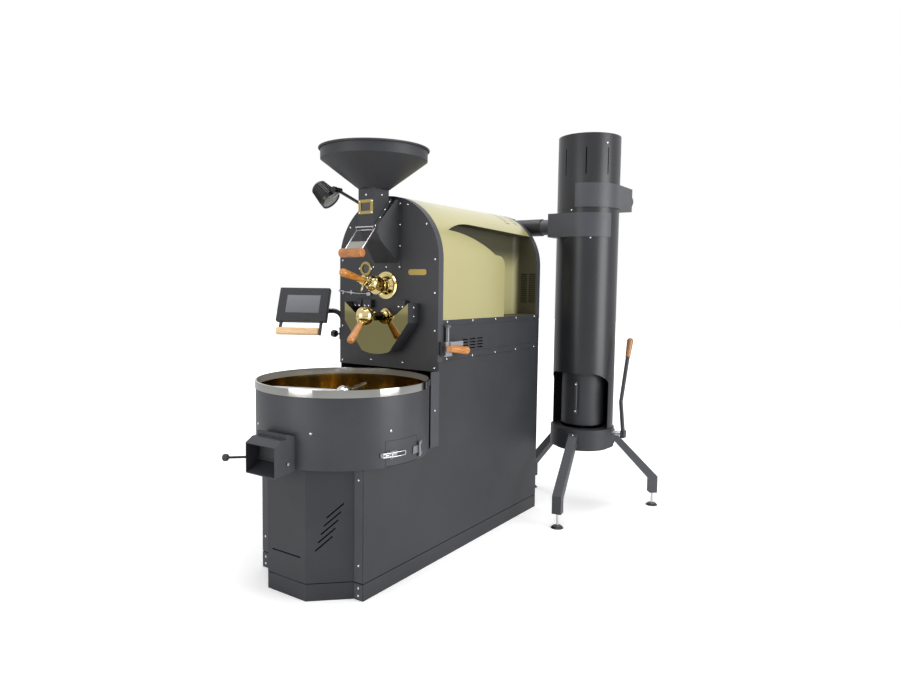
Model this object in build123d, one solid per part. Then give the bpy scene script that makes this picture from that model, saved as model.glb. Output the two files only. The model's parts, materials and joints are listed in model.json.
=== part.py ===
from build123d import *
import os
from math import atan2, cos, hypot, radians, sin, tan

# Shop-floor drum coffee roaster: cabinet, front faceplate, bean hopper, round cooling bin,
# and a free-standing chaff cyclone joined to the cabinet by its exhaust pipe.
# Millimetres. +X is the control side, -Y is the front, +Z is up.
# The origin is the centre of the cabinet's underside.

os.makedirs("parts", exist_ok=True)

# ---------------------------------------------------------------- cabinet
HALF_W = 270.0            # half width of the cabinet
REAR_Y = 736.0            # rear face
BIN_R = 341.0             # outer radius of the cooling bin, which sets the depth of the base
BIN_REAR_Y = -87.0        # rearmost point of the bin, under the faceplate
BIN_Y = BIN_REAR_Y - BIN_R
NOSE_Y = BIN_Y - BIN_R + 33.0    # front face of the base
CORNER_Y = NOSE_Y + 120.0        # front edge of the side panels
NOSE_HALF = 100.0         # half width of that face
CHAMFER_HALF = HALF_W - 43.0     # half width where the slanted faces meet the corner strips
PLINTH_H = 63.0
GROOVE = 3.0              # shadow gap over the plinth and between the strips
GROOVE_D = 1.5            # depth of the lines pressed into the control strips
DECK_Z = 487.0            # underside of the deck that carries the cooling bin
DECK_T = 3.0
SHEET = 2.5               # cabinet sheet thickness
FACE_Y = -166.0           # front face of the faceplate
FACE_T = 3.0
FACE_Z0 = 797.0           # bottom edge of the faceplate
COLUMN_Y = -159.0         # front edge of the side panels over the base
STRIP_Z0 = 838.0          # control strips, bottom and top
STRIP_Z1 = 1008.0
SPRING_Z = 1254.0         # where the sides turn into the half-round top
TRIM_DEPTH = 33.4         # depth of the front trim behind the faceplate
REAR_TRIM = 36.0          # depth of the rear trim
SHELL_T = 2.0
SLOT_W = 5.0              # width of the cut air slots
NOSE_SLOTS = 5
SHELF_Z = 740.0           # top of the shelf under the drum chamber
SHELF_Y0 = -75.0

# ---------------------------------------------------------------- side recesses
RECESS_X = HALF_W - 130.0        # depth position of the recess's back wall
RECESS_FRONT_Y = 372.0    # front edge of its tall part
RECESS_LIP = 2.0          # the liner stands this far behind the cut-out's edge
RECESS_CORNER_R = 30.0
LOUVRE_COUNT = 14
LOUVRE_PITCH = 10.8

# ---------------------------------------------------------------- drum
DRUM_Z = 1110.0
DRUM_R = 190.0
DRUM_T = 4.0
DRUM_Y0 = -156.0
DRUM_Y1 = 330.0
VANE_H = 40.0
VANE_COUNT = 6
JACKET_R = 215.0
BULKHEAD_Y = 345.0
BULKHEAD_T = 4.0
SHAFT_R = 15.0
RUN_FIT = 0.05            # radial running clearance of shafts and pins
PULLEY_Y = 605.0
PULLEY_W = 20.0
DRUM_PULLEY_R = 90.0
MOTOR_PULLEY_R = 35.0
MOTOR_X = 150.0
MOTOR_Z = SHELF_Z + 100.0
BURNER_Z = SHELF_Z + 70.0
BELT_T = 6.0
BELT_GAP = 0.3

# ---------------------------------------------------------------- hopper and feed chute
HOPPER_Y = -250.0
HOPPER_RIM_Z = 1705.0
HOPPER_R = 219.5
HOPPER_CONE_Z1 = 1657.5
HOPPER_CONE_Z0 = 1542.0
HOPPER_CONE_R0 = 65.0
HOPPER_BEAD_R = 4.5
HOPPER_T = 2.0
NECK_HALF = 41.6
NECK_Y0 = -300.0
NECK_Y1 = -205.5
NECK_T = 2.5
CHUTE_HALF = 65.0         # half width of the chute at the faceplate
CHUTE_Z0 = 1240.0
CHUTE_Z1 = 1504.0
CHUTE_FLANGE = 12.0
GATE_FRONT = (-290.0, 1382.0)   # (y, z) at the front end of the slanted gate plane
GATE_SLOPE = 49.0         # slope of that plane below the horizontal, degrees
GATE_T = 2.0
GATE_ROD_R = 3.0          # rods of the pull-out frame
GATE_SLOT = 3.2           # height of the slot that the gate slides in
GATE_OUT = 142.0          # how far the gate's frame stands out at rest
GRIP_R = 18.0
SIGHT_Z = 1466.0

# ---------------------------------------------------------------- faceplate fittings
TRIER_Z = 1148.0
TRIER_Y = -232.0
TRIER_TILT = 13.5         # the trier runs down into the drum by this angle
TRIER_R = 12.0
SLEEVE_R = 16.0
PORT_X = -116.0
PORT_Z = 1219.0
LEVER_Z = 1022.0
LEVER_R = 8.0
BALL_R = 39.0
BALL_Y = -305.0
BIB_Y = -240.0            # front face of the mirror-finished bib
BIB_T = 2.5
BIB_TIP = (172.5, 1076.0)
BIB_CORNER = (172.5, 996.0)
BIB_FOOT = (75.0, 872.0)
BIB_BOTTOM_Z = 860.0
BIB_SCOOP = (114.0, 1030.0)
BIB_SCOOP_Z = 1000.0
BLOCK_Y = -190.0          # front faces of the hinge blocks over the discharge door
BLOCK_Z = 1051.0
DAMPER_Y = -108.0
DAMPER_Z = 888.0
DAMPER_BLOCK_X = HALF_W + 21.0   # outer face of the damper block
LEAD_R = 3.0
CLIP_Z = 1119.5           # height of the lead's outer clip, which takes a screw's place

# ---------------------------------------------------------------- cooling bin
BIN_T = 2.5
BIN_Z0 = 490.0
BIN_RIM_Z = 777.0
RIM_H = 26.0
RIM_R = BIN_R + 2.5
FLOOR_Z = 602.0
STIR_R = 15.0
HUB_R = 38.0
HUB_TOP = 747.0
ARM_Z = 722.0
ARM_GAP = 23.0            # from the long arms' ends to the bin's wall
BLADE_PITCH = 65.0
CHUTE_MOUTH_Y = BIN_Y - BIN_R - 86.0
CHUTE_MOUTH_HALF = 76.0
FLAP_Y = CHUTE_MOUTH_Y + 58.0
FLAP_Z = 517.0
DOOR_A0 = -21.25          # clean-out door, angles about the bin's axis from +X
DOOR_A1 = 6.25
DOOR_Z1 = 587.0
HINGE_A = 7.8
LATCH_A = -18.0

# ---------------------------------------------------------------- cyclone
CYC_X = 455.0
CYC_Y = 895.0
CYC_R = 156.0
CYC_T = 2.0
CYC_JOIN_Z = 1541.0
CYC_TOP = 1905.0
WINDOW_Z0 = 433.0
WINDOW_Z1 = 718.0
WINDOW_HALF_ANGLE = 77.0
DUCT_W = 92.0
LOWER_DUCT_Z = (1401.0, 1519.0)
UPPER_DUCT_Z = (1546.0, 1663.0)
BAND_T = 5.0              # how far a duct's wall stands off the cyclone's
LOWER_DUCT_X = 308.0      # end face of the lower duct
UPPER_DUCT_Y = 1091.0     # end face of the upper duct
STUB_R = 39.0
PIPE_R = 43.5
SKIRT_R = 163.0
SKIRT_Z0 = 335.0
CHAFF_R = 110.0
CHAFF_Z0 = 452.0
CHAFF_Z1 = 737.5
LEG_ANGLES = (-82.5, 38.0, 158.0)
LEG_W = 45.0
FOOT_RADIUS = 388.0
FOOT_R = 31.0
LIFT_Z = 411.0
LIFT_X = 678.0

# ---------------------------------------------------------------- touch screen and lamp
POST_X = -HALF_W - 30.0     # stem of the screen arm, beside the cabinet
SCREEN_C = (POST_X - 99.2, -269.3, 1059.6)   # centre of the screen's front face
SCREEN_TURN = 27.8
SCREEN_TILT = 25.5
SCREEN_W = 232.0
SCREEN_H = 163.5
SCREEN_D = 26.0
DISPLAY_W = 154.0
DISPLAY_H = 86.0
POST_Y = -118.0
POST_R = 15.0
STEM_R = 11.0
CLAMP_Z0 = 898.0
CLAMP_Z1 = 946.0
KNOB_Z = 922.0
LAMP_BACK = (-306.0, -270.0, 1575.0)
LAMP_LENS = (-243.0, -256.0, 1514.0)
LAMP_PIVOT = (-190.0, -262.0, 1550.0)
LAMP_R = 44.0

SCREW_R = 4.8
SCREW_H = 2.8


# ---------------------------------------------------------------- helpers
def box(x0, x1, y0, y1, z0, z1):
    """Block between two corners."""
    return Pos((x0 + x1) / 2, (y0 + y1) / 2, (z0 + z1) / 2) * Box(x1 - x0, y1 - y0, z1 - z0)


def push(plane, face, depth):
    """Extrude a face drawn on a plane along that plane's normal."""
    return extrude(plane * face, depth, dir=plane.z_dir)


def prism_x(points, x0, x1):
    """Extrude an outline of (y, z) points from x0 to x1."""
    return push(Plane.YZ.offset(x0), Polygon(*points, align=None), x1 - x0)


def prism_y(points, y0, y1):
    """Extrude an outline of (x, z) points from y0 to y1."""
    return push(Plane.XZ.offset(-y1), Polygon(*points, align=None), y1 - y0)


def prism_z(points, z0, z1):
    """Extrude an outline of (x, y) points from z0 to z1."""
    return push(Plane.XY.offset(z0), Polygon(*points, align=None), z1 - z0)


def along(p, q):
    """Plane at p whose normal points to q."""
    return Plane(origin=Vector(*p), z_dir=Vector(*q) - Vector(*p))


def length(p, q):
    return (Vector(*q) - Vector(*p)).length


def rod(p, q, r):
    """Round bar of radius r between two points."""
    return extrude(along(p, q) * Circle(r), length(p, q))


def taper(p, q, r0, r1):
    """Round bar whose radius runs from r0 at p to r1 at q."""
    cone = Cone(r0, r1, length(p, q), align=(Align.CENTER, Align.CENTER, Align.MIN))
    return along(p, q) * cone


def tube(p, q, r_out, r_in):
    """Round tube between two points."""
    return rod(p, q, r_out) - rod(p, q, r_in)


def arch(r, y0, y1, z0):
    """Solid with upright sides and a half-round top."""
    outline = make_face([
        Line((-r, z0), (r, z0)),
        Line((r, z0), (r, SPRING_Z)),
        ThreePointArc((r, SPRING_Z), (0, SPRING_Z + r), (-r, SPRING_Z)),
        Line((-r, SPRING_Z), (-r, z0)),
    ])
    return push(Plane.XZ.offset(-y1), outline, y1 - y0)


def mirrored(part):
    """The same part on the other side of the cabinet."""
    return mirror(part, Plane.YZ)


def pair(part):
    """A part with its mirror image, as two separate solids."""
    return [part, mirrored(part)]


def polar(cx, cy, r, angle):
    return cx + r * cos(radians(angle)), cy + r * sin(radians(angle))


def sector(cx, cy, r, a0, a1, z0, z1):
    """Pie-shaped solid about a vertical axis."""
    steps = max(2, int((a1 - a0) / 20) + 1)
    reach = r / cos(radians((a1 - a0) / steps / 2)) + 1
    rim = [polar(cx, cy, reach, a0 + (a1 - a0) * i / steps) for i in range(steps + 1)]
    return prism_z([(cx, cy)] + rim, z0, z1)


def shell_patch(cx, cy, r0, r1, a0, a1, z0, z1):
    """Curved plate about a vertical axis between two angles."""
    ring = tube((cx, cy, z0), (cx, cy, z1), r1, r0)
    return ring & sector(cx, cy, r1, a0, a1, z0 - 1, z1 + 1)


def slot_cut(origin, x_dir, normal, size, width, depth=12.0):
    """Cutter for a round-ended slot centred on origin."""
    plane = Plane(origin=Vector(*origin), x_dir=Vector(*x_dir), z_dir=Vector(*normal))
    return extrude(plane * SlotOverall(size, width), depth, both=True)


def save(name, *solids):
    """Write one sub-part to its own STEP file."""
    flat = []
    for item in solids:
        flat.extend(item if isinstance(item, (list, tuple)) else [item])
    parts = [s for item in flat for s in item.solids()]
    shape = parts[0] if len(parts) == 1 else Compound(children=parts)
    shape.label = name
    export_step(shape, f"parts/{name}.step")
    return shape


# ---------------------------------------------------------------- cabinet
BASE_OUTLINE = [
    (-HALF_W, REAR_Y), (-HALF_W, CORNER_Y), (-CHAMFER_HALF, CORNER_Y), (-NOSE_HALF, NOSE_Y),
    (NOSE_HALF, NOSE_Y), (CHAMFER_HALF, CORNER_Y), (HALF_W, CORNER_Y), (HALF_W, REAR_Y),
]
PANEL_Z0 = PLINTH_H + GROOVE
CHAMFER_LEN = hypot(CHAMFER_HALF - NOSE_HALF, NOSE_Y - CORNER_Y)
CHAMFER_DIR = ((NOSE_HALF - CHAMFER_HALF) / CHAMFER_LEN, (NOSE_Y - CORNER_Y) / CHAMFER_LEN)
CHAMFER_NORMAL = (-CHAMFER_DIR[1], CHAMFER_DIR[0], 0)


def base_plinth():
    """Shallow pan that the cabinet stands on, with spacers that make the shadow gap."""
    outer = prism_z(BASE_OUTLINE, 0, PLINTH_H)
    pocket = offset(Polygon(*BASE_OUTLINE, align=None), -SHEET, kind=Kind.INTERSECTION)
    pan = outer - push(Plane.XY.offset(SHEET), pocket, PLINTH_H)
    spacer_x = HALF_W - 30
    for y in (CORNER_Y + 40, -200, 200, REAR_Y - 40):
        for side in (-1, 1):
            post = box(side * spacer_x - 20, side * spacer_x + 20, y - 20, y + 20, SHEET, PANEL_Z0)
            pan += post
    pan += box(-60, 60, NOSE_Y + SHEET, NOSE_Y + 30, SHEET, PANEL_Z0)
    return pan


def side_panel():
    """Right side panel with its folded front and bottom flanges."""
    outline = [(CORNER_Y, PANEL_Z0), (REAR_Y, PANEL_Z0), (REAR_Y, STRIP_Z0),
               (COLUMN_Y, STRIP_Z0), (COLUMN_Y, DECK_Z), (CORNER_Y, DECK_Z)]
    panel = prism_x(outline, HALF_W - SHEET, HALF_W)
    panel += box(CHAMFER_HALF + 2, HALF_W, CORNER_Y, CORNER_Y + SHEET, PANEL_Z0, DECK_Z)
    panel += box(HALF_W - 38, HALF_W, CORNER_Y, REAR_Y - 10, PANEL_Z0, PANEL_Z0 + SHEET)
    panel += box(HALF_W - 30, HALF_W, -70, REAR_Y - 10, STRIP_Z0 - SHEET, STRIP_Z0)
    return panel


def chamfer_slots():
    """Cutters for the slanted air slots in the right slanted face."""
    cuts = []
    rise = (-CHAMFER_DIR[0] * 62.5, -CHAMFER_DIR[1] * 62.5, 52.0)
    for k in range(NOSE_SLOTS):
        s = 68.5 + 10.2 * k
        z = 333.0 - 30.2 * k
        origin = (CHAMFER_HALF + CHAMFER_DIR[0] * s, CORNER_Y + CHAMFER_DIR[1] * s, z)
        cuts.append(slot_cut(origin, rise, CHAMFER_NORMAL, 82.0, SLOT_W))
    return cuts


def front_panel():
    """Three-faced folded front with its air slots."""
    back = CORNER_Y + 16
    outline = [(-CHAMFER_HALF, back), (-CHAMFER_HALF, CORNER_Y), (-NOSE_HALF, NOSE_Y),
               (NOSE_HALF, NOSE_Y), (CHAMFER_HALF, CORNER_Y), (CHAMFER_HALF, back)]
    outer = prism_z(outline, PANEL_Z0, DECK_Z)
    inner = offset(Polygon(*outline, align=None), -SHEET, kind=Kind.INTERSECTION)
    panel = outer - push(Plane.XY.offset(PANEL_Z0 + SHEET), inner, DECK_Z)
    panel -= box(-CHAMFER_HALF + SHEET, CHAMFER_HALF - SHEET, back - 4, back + 4, PANEL_Z0, DECK_Z)
    panel -= box(-NOSE_HALF, NOSE_HALF, NOSE_Y + 30, back, PANEL_Z0 - 1, PANEL_Z0 + SHEET + 1)
    for cut in chamfer_slots():
        panel = panel - cut - mirrored(cut)
    panel -= slot_cut((0, NOSE_Y, 158), (1, 0, 0), (0, -1, 0), 150, SLOT_W)
    return panel


def trim_strips():
    """Corner strips, bin cheeks and the dark trims round both ends of the shell."""
    strips = []
    x0 = CHAMFER_HALF + 2
    x1 = HALF_W - 2
    for z0, z1 in ((PANEL_Z0 + 1, DECK_Z), (2, PLINTH_H - 1)):
        strips += pair(box(x0, x1, CORNER_Y - SHEET, CORNER_Y, z0, z1))
    strips.append(box(HALF_W, HALF_W + SHEET, -212, -154, BIN_Z0, FACE_Z0 + 3))
    strips.append(box(-HALF_W - SHEET, -HALF_W, -212, -154, BIN_Z0, BIN_RIM_Z - 6))
    front = arch(HALF_W, FACE_Y + FACE_T, FACE_Y + FACE_T + TRIM_DEPTH, STRIP_Z0)
    front -= arch(HALF_W - SHEET, FACE_Y, FACE_Y + 60, STRIP_Z0 - 1)
    rear = arch(HALF_W, REAR_Y - REAR_TRIM, REAR_Y, STRIP_Z1)
    rear -= arch(HALF_W - SHEET, REAR_Y - REAR_TRIM - 1, REAR_Y + 1, STRIP_Z1 - 1)
    return strips + [front, rear]


def base_deck():
    """Deck that carries the cooling bin, tucked under the faceplate at the back."""
    inner = HALF_W - SHEET
    outline = [(-inner, -80), (-inner, COLUMN_Y), (-HALF_W, COLUMN_Y), (-HALF_W, CORNER_Y),
               (-CHAMFER_HALF, CORNER_Y), (-NOSE_HALF, NOSE_Y), (NOSE_HALF, NOSE_Y),
               (CHAMFER_HALF, CORNER_Y), (HALF_W, CORNER_Y), (HALF_W, COLUMN_Y),
               (inner, COLUMN_Y), (inner, -80)]
    deck = prism_z(outline, DECK_Z, DECK_Z + DECK_T)
    return deck - rod((0, BIN_Y, DECK_Z - 1), (0, BIN_Y, DECK_Z + 5), 40)


def rear_panel():
    """Arched back of the cabinet with the exhaust hole and motor air slots."""
    panel = arch(HALF_W - SHEET, REAR_Y - SHEET, REAR_Y, PANEL_Z0)
    panel -= rod((0, REAR_Y - 10, EXHAUST_Z), (0, REAR_Y + 10, EXHAUST_Z), STUB_R)
    for k in range(8):
        panel -= slot_cut((0, REAR_Y, 620 + 16 * k), (1, 0, 0), (0, 1, 0), 160, SLOT_W)
    return panel


def control_strip():
    """Right control strip with three columns of louvre slits."""
    y0 = FACE_Y + FACE_T + TRIM_DEPTH
    strip = box(HALF_W - SHEET, HALF_W, y0, REAR_Y, STRIP_Z0, STRIP_Z1)
    strip += box(HALF_W - 30, HALF_W, y0, REAR_Y - 10, STRIP_Z1 - SHEET, STRIP_Z1)
    strip += box(HALF_W - 30, HALF_W, y0, REAR_Y - 10, STRIP_Z0, STRIP_Z0 + SHEET)
    for col in range(3):
        for row in range(4):
            y = 40 + 61 * col
            z = 919 - 13 * row
            strip -= slot_cut((HALF_W, y, z), (0, 1, 0), (1, 0, 0), 48, SLOT_W)
    for z in (STRIP_Z0, STRIP_Z0 + 28, STRIP_Z1 - 26):
        strip -= box(HALF_W - GROOVE_D, HALF_W + 1, y0 - 1, REAR_Y + 1, z, z + GROOVE)
    return strip


def recess_outline(grow, y_end, z_end):
    """Outline of the side cut-out in the (y, z) plane, grown by a margin."""
    y0 = RECESS_FRONT_Y
    z0 = SPRING_Z
    tip = (y0 - 424, z0 + 129)
    crest = (y0 - 225, z0 + 167)
    heel = (y0 - 82, z0 + 39)
    step = (y0 - 44, z0 + 36)
    wires = [
        ThreePointArc(tip, (y0 - 342, z0 + 155), crest),
        Line(crest, (y_end, z0 + 150)),
        Line((y_end, z0 + 150), (y_end, z_end)),
        Line((y_end, z_end), (y0, z_end)),
        Line((y0, z_end), (y0, z0 - 14)),
        ThreePointArc((y0, z0 - 14), (y0 - 12, z0 + 21), step),
        Line(step, heel),
        ThreePointArc(heel, (y0 - 225, z0 + 97), tip),
    ]
    face = make_face(wires)
    return offset(face, grow, kind=Kind.INTERSECTION) if grow else face


def outer_shell():
    """Half-round cover with a wing-shaped cut-out in each side and two vent bands."""
    y0 = FACE_Y + FACE_T + TRIM_DEPTH
    y1 = REAR_Y - REAR_TRIM
    shell = arch(HALF_W, y0, y1, STRIP_Z1) - arch(HALF_W - SHELL_T, y0 - 1, y1 + 1, STRIP_Z1 - 1)
    cut = push(Plane.YZ.offset(RECESS_X), recess_outline(0, y1 + 5, STRIP_Z1 - 5), HALF_W - RECESS_X + 70)
    shell = shell - cut - mirrored(cut)
    cutters = []
    for y in (565.0, 655.0):
        for k in range(-13, 14):
            angle = 3.05 * k
            mid = (HALF_W * sin(radians(angle)), y, SPRING_Z + HALF_W * cos(radians(angle)))
            normal = (sin(radians(angle)), 0, cos(radians(angle)))
            cutters.append(slot_cut(mid, (0, 1, 0), normal, 44, 4, 6))
    return shell - cutters


def recess_liner():
    """Right-hand liner: a deep pan behind the cut-out, louvred on its rear wall."""
    rear = REAR_Y - REAR_TRIM
    outline = recess_outline(RECESS_LIP, rear - RECESS_LIP, STRIP_Z1 + RECESS_LIP)
    reach = HALF_W - RECESS_X + 10
    pan = push(Plane.YZ.offset(RECESS_X - SHELL_T), outline, reach)
    opening = recess_outline(0, rear - RECESS_LIP, STRIP_Z1 + RECESS_LIP)
    room = push(Plane.YZ.offset(RECESS_X), opening, reach)
    corner = room.edges().filter_by(Axis.Z).filter_by_position(Axis.X, RECESS_X - 1, RECESS_X + 1)
    room = fillet(corner.sort_by(Axis.Y)[-1], RECESS_CORNER_R)
    liner = (pan - room) & arch(HALF_W - SHELL_T - 0.1, -100, REAR_Y, STRIP_Z1)
    for x in (HALF_W - 72, HALF_W - 26):
        for k in range(LOUVRE_COUNT):
            z = 1072 + LOUVRE_PITCH * k
            liner -= slot_cut((x, rear, z), (1, 0, 0), (0, 1, 0), 38, SLOT_W)
    return liner


def faceplate():
    """Arched front plate with its openings."""
    plate = arch(HALF_W, FACE_Y, FACE_Y + FACE_T, FACE_Z0)
    y0 = FACE_Y - 1
    y1 = FACE_Y + FACE_T + 1
    plate -= box(-50, 50, y0, y1, CHUTE_Z0 + 3, CHUTE_Z0 + 56)
    plate -= box(-45, 45, y0, y1, 928, 1000)
    plate -= rod((PORT_X, y0, PORT_Z), (PORT_X, y1, PORT_Z), 24)
    plate -= rod((0, y0, LEVER_Z), (0, y1, LEVER_Z), LEVER_R + RUN_FIT)
    plate -= trier_rod(-90, -40, SLEEVE_R + 2)
    plate -= rod((PROBE_X, y0, PROBE_Z), (PROBE_X, y1, PROBE_Z), 4)
    return plate


# ---------------------------------------------------------------- drum and its drive
EXHAUST_Z = sum(LOWER_DUCT_Z) / 2 - 5
TRIER_DIR = (0, -cos(radians(TRIER_TILT)), sin(radians(TRIER_TILT)))
PROBE_X = -92.0
PROBE_Z = 1109.5


def trier_point(s):
    """Point on the trier's axis, s outwards from the middle of its housing."""
    return (0, TRIER_Y + s * TRIER_DIR[1], TRIER_Z + s * TRIER_DIR[2])


def trier_rod(s0, s1, r):
    return rod(trier_point(s0), trier_point(s1), r)


def drum_chamber():
    """Heat jacket round the drum, its bulkhead and shelf, and the burner bars."""
    jacket = tube((0, FACE_Y + FACE_T, DRUM_Z), (0, BULKHEAD_Y, DRUM_Z), JACKET_R, JACKET_R - 3)
    jacket -= box(-80, 80, -100, 310, DRUM_Z - JACKET_R - 5, DRUM_Z - 150)
    waist = RECESS_X - SHELL_T - 2
    wide = HALF_W - SHEET
    ledge = HALF_W - 35
    brow = STRIP_Z0 - SHEET
    head = [(-wide, SHELF_Z), (wide, SHELF_Z), (wide, brow), (ledge, brow), (waist, 1000),
            (waist, 1440), (-waist, 1440), (-waist, 1000), (-ledge, brow), (-wide, brow)]
    bulkhead = prism_y(head, BULKHEAD_Y, BULKHEAD_Y + BULKHEAD_T)
    bulkhead -= rod((0, BULKHEAD_Y - 1, DRUM_Z), (0, BULKHEAD_Y + 9, DRUM_Z), SHAFT_R + 5)
    shelf = box(-wide, wide, SHELF_Y0, REAR_Y - SHEET, SHELF_Z - 3, SHELF_Z)
    burner = box(-90, 90, 305, 335, BURNER_Z - 20, BURNER_Z + 20)
    for x in (-60, 0, 60):
        burner += rod((x, -50, BURNER_Z), (x, 306, BURNER_Z), 14)
        burner += box(x - 6, x + 6, -30, -10, SHELF_Z, BURNER_Z - 10)
    burner += box(-70, 70, 310, 330, SHELF_Z, BURNER_Z - 18)
    return [jacket + bulkhead + shelf, burner]


def drum():
    """Roasting drum with lifting vanes and a spoked rear end."""
    body = tube((0, DRUM_Y0, DRUM_Z), (0, DRUM_Y1, DRUM_Z), DRUM_R, DRUM_R - DRUM_T)
    inner = DRUM_R - DRUM_T
    for k in range(VANE_COUNT):
        vane = Pos(0, (DRUM_Y0 + DRUM_Y1) / 2, inner - VANE_H / 2 + 1) * Rot(0, 0, 8) * Box(
            3, DRUM_Y1 - DRUM_Y0 - 60, VANE_H)
        body += Pos(0, 0, DRUM_Z) * Rot(0, 360 / VANE_COUNT * k, 0) * vane
    plate = rod((0, DRUM_Y1 - 6, DRUM_Z), (0, DRUM_Y1, DRUM_Z), inner)
    for k in range(4):
        hole = rod((0, DRUM_Y1 - 8, 110), (0, DRUM_Y1 + 2, 110), 48)
        plate -= Pos(0, 0, DRUM_Z) * Rot(0, 45 + 90 * k, 0) * hole
    plate -= rod((0, DRUM_Y1 - 8, DRUM_Z), (0, DRUM_Y1 + 2, DRUM_Z), SHAFT_R)
    return body + plate


def pulley(x, z, r, bore):
    """Flat belt pulley with a flange on each side."""
    wheel = rod((x, PULLEY_Y, z), (x, PULLEY_Y + PULLEY_W, z), r)
    for y in (PULLEY_Y - 3, PULLEY_Y + PULLEY_W):
        wheel += rod((x, y, z), (x, y + 3, z), r + 4)
    return wheel - rod((x, PULLEY_Y - 5, z), (x, PULLEY_Y + PULLEY_W + 5, z), bore)


def drum_shaft():
    """Overhung drum shaft with its clamping hub and pulley."""
    shaft = rod((0, DRUM_Y1 - 6, DRUM_Z), (0, PULLEY_Y + PULLEY_W + 10, DRUM_Z), SHAFT_R)
    hub = tube((0, DRUM_Y1 - 40, DRUM_Z), (0, DRUM_Y1 - 6, DRUM_Z), 34, SHAFT_R)
    hub += rod((0, DRUM_Y1 - 40, DRUM_Z), (0, DRUM_Y1 - 6, DRUM_Z), SHAFT_R)
    return [shaft + hub, pulley(0, DRUM_Z, DRUM_PULLEY_R, SHAFT_R)]


def drum_bearings():
    """Flanged bearing on the bulkhead and pillow block on its pedestal."""
    y0 = BULKHEAD_Y + BULKHEAD_T
    flange = box(-55, 55, y0, y0 + 12, DRUM_Z - 55, DRUM_Z + 55)
    flange += rod((0, y0, DRUM_Z), (0, y0 + 30, DRUM_Z), 36)
    block = box(-40, 40, 560, 590, SHELF_Z, DRUM_Z)
    block += rod((0, 560, DRUM_Z), (0, 590, DRUM_Z), 40)
    block += box(-70, 70, 550, 600, SHELF_Z, SHELF_Z + 10)
    bore = rod((0, y0 - 1, DRUM_Z), (0, 600, DRUM_Z), SHAFT_R + RUN_FIT)
    return [flange - bore, block - bore]


def drive_motor():
    """Drum gearmotor on its foot."""
    motor = rod((MOTOR_X, 400, MOTOR_Z), (MOTOR_X, 530, MOTOR_Z), 62)
    motor += box(MOTOR_X - 55, MOTOR_X + 55, 530, 590, MOTOR_Z - 55, MOTOR_Z + 55)
    motor += box(MOTOR_X - 60, MOTOR_X + 60, 420, 580, SHELF_Z, SHELF_Z + 8)
    motor += box(MOTOR_X - 12, MOTOR_X + 12, 430, 570, SHELF_Z, MOTOR_Z - 40)
    motor -= rod((MOTOR_X, 560, MOTOR_Z), (MOTOR_X, 591, MOTOR_Z), 9 + RUN_FIT)
    return motor


def motor_pulley():
    """Motor pulley on its shaft."""
    shaft = rod((MOTOR_X, 561, MOTOR_Z), (MOTOR_X, PULLEY_Y + PULLEY_W + 8, MOTOR_Z), 9)
    return shaft + pulley(MOTOR_X, MOTOR_Z, MOTOR_PULLEY_R, 9)


def belt_loop(extra):
    """Face of the belt's outline, offset from both pulley rims."""
    big = Pos(0, DRUM_Z) * Circle(DRUM_PULLEY_R + extra)
    small = Pos(MOTOR_X, MOTOR_Z) * Circle(MOTOR_PULLEY_R + extra)
    return make_hull(big.edges() + small.edges())


def drive_belt():
    """Flat belt round both pulleys."""
    face = belt_loop(BELT_GAP + BELT_T) - belt_loop(BELT_GAP)
    return push(Plane.XZ.offset(1 - PULLEY_Y - PULLEY_W), face, PULLEY_W - 2)


# ---------------------------------------------------------------- hopper, neck, gate and chute
GATE_DIR = (0, -cos(radians(GATE_SLOPE)), -sin(radians(GATE_SLOPE)))
GATE_UP = (0, -sin(radians(GATE_SLOPE)), cos(radians(GATE_SLOPE)))


def gate_plane_point(s, lift=0.0):
    """(y, z) at distance s down the gate's slope and lift above its plane."""
    y = GATE_FRONT[0] + s * GATE_DIR[1] + lift * GATE_UP[1]
    z = GATE_FRONT[1] + s * GATE_DIR[2] + lift * GATE_UP[2]
    return y, z


def slope_slab(s0, s1, lift0, lift1, x0, x1):
    """Plate lying along the gate's slope."""
    corners = [gate_plane_point(s0, lift0), gate_plane_point(s1, lift0),
               gate_plane_point(s1, lift1), gate_plane_point(s0, lift1)]
    return prism_x(corners, x0, x1)


def hopper():
    """Bean hopper: rolled rim and cone, open into the neck."""
    half_pi_tilt = atan2(HOPPER_CONE_Z1 - HOPPER_CONE_Z0, HOPPER_R - HOPPER_CONE_R0)
    wall = HOPPER_T / sin(half_pi_tilt)
    z0, z1, z2 = HOPPER_CONE_Z0, HOPPER_CONE_Z1, HOPPER_RIM_Z
    outer = Polygon((0, z0), (HOPPER_CONE_R0, z0), (HOPPER_R, z1), (HOPPER_R, z2), (0, z2), align=None)
    inner = Polygon((0, z0 + HOPPER_T), (HOPPER_CONE_R0 - wall + 2.5, z0 + HOPPER_T),
                    (HOPPER_R - HOPPER_T, z1 + 1), (HOPPER_R - HOPPER_T, z2 + 5), (0, z2 + 5), align=None)
    bead = Pos(HOPPER_R + HOPPER_BEAD_R - 0.5, z2 - HOPPER_BEAD_R) * Circle(HOPPER_BEAD_R)
    at = Pos(0, HOPPER_Y, 0)
    bowl = at * (revolve(Plane.XZ * outer, Axis.Z) - revolve(Plane.XZ * inner, Axis.Z))
    bowl -= box(-NECK_HALF + NECK_T, NECK_HALF - NECK_T, NECK_Y0 + NECK_T, NECK_Y1 - NECK_T,
                z0 - 5, z0 + 30)
    return bowl + at * revolve(Plane.XZ * bead, Axis.Z)


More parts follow.
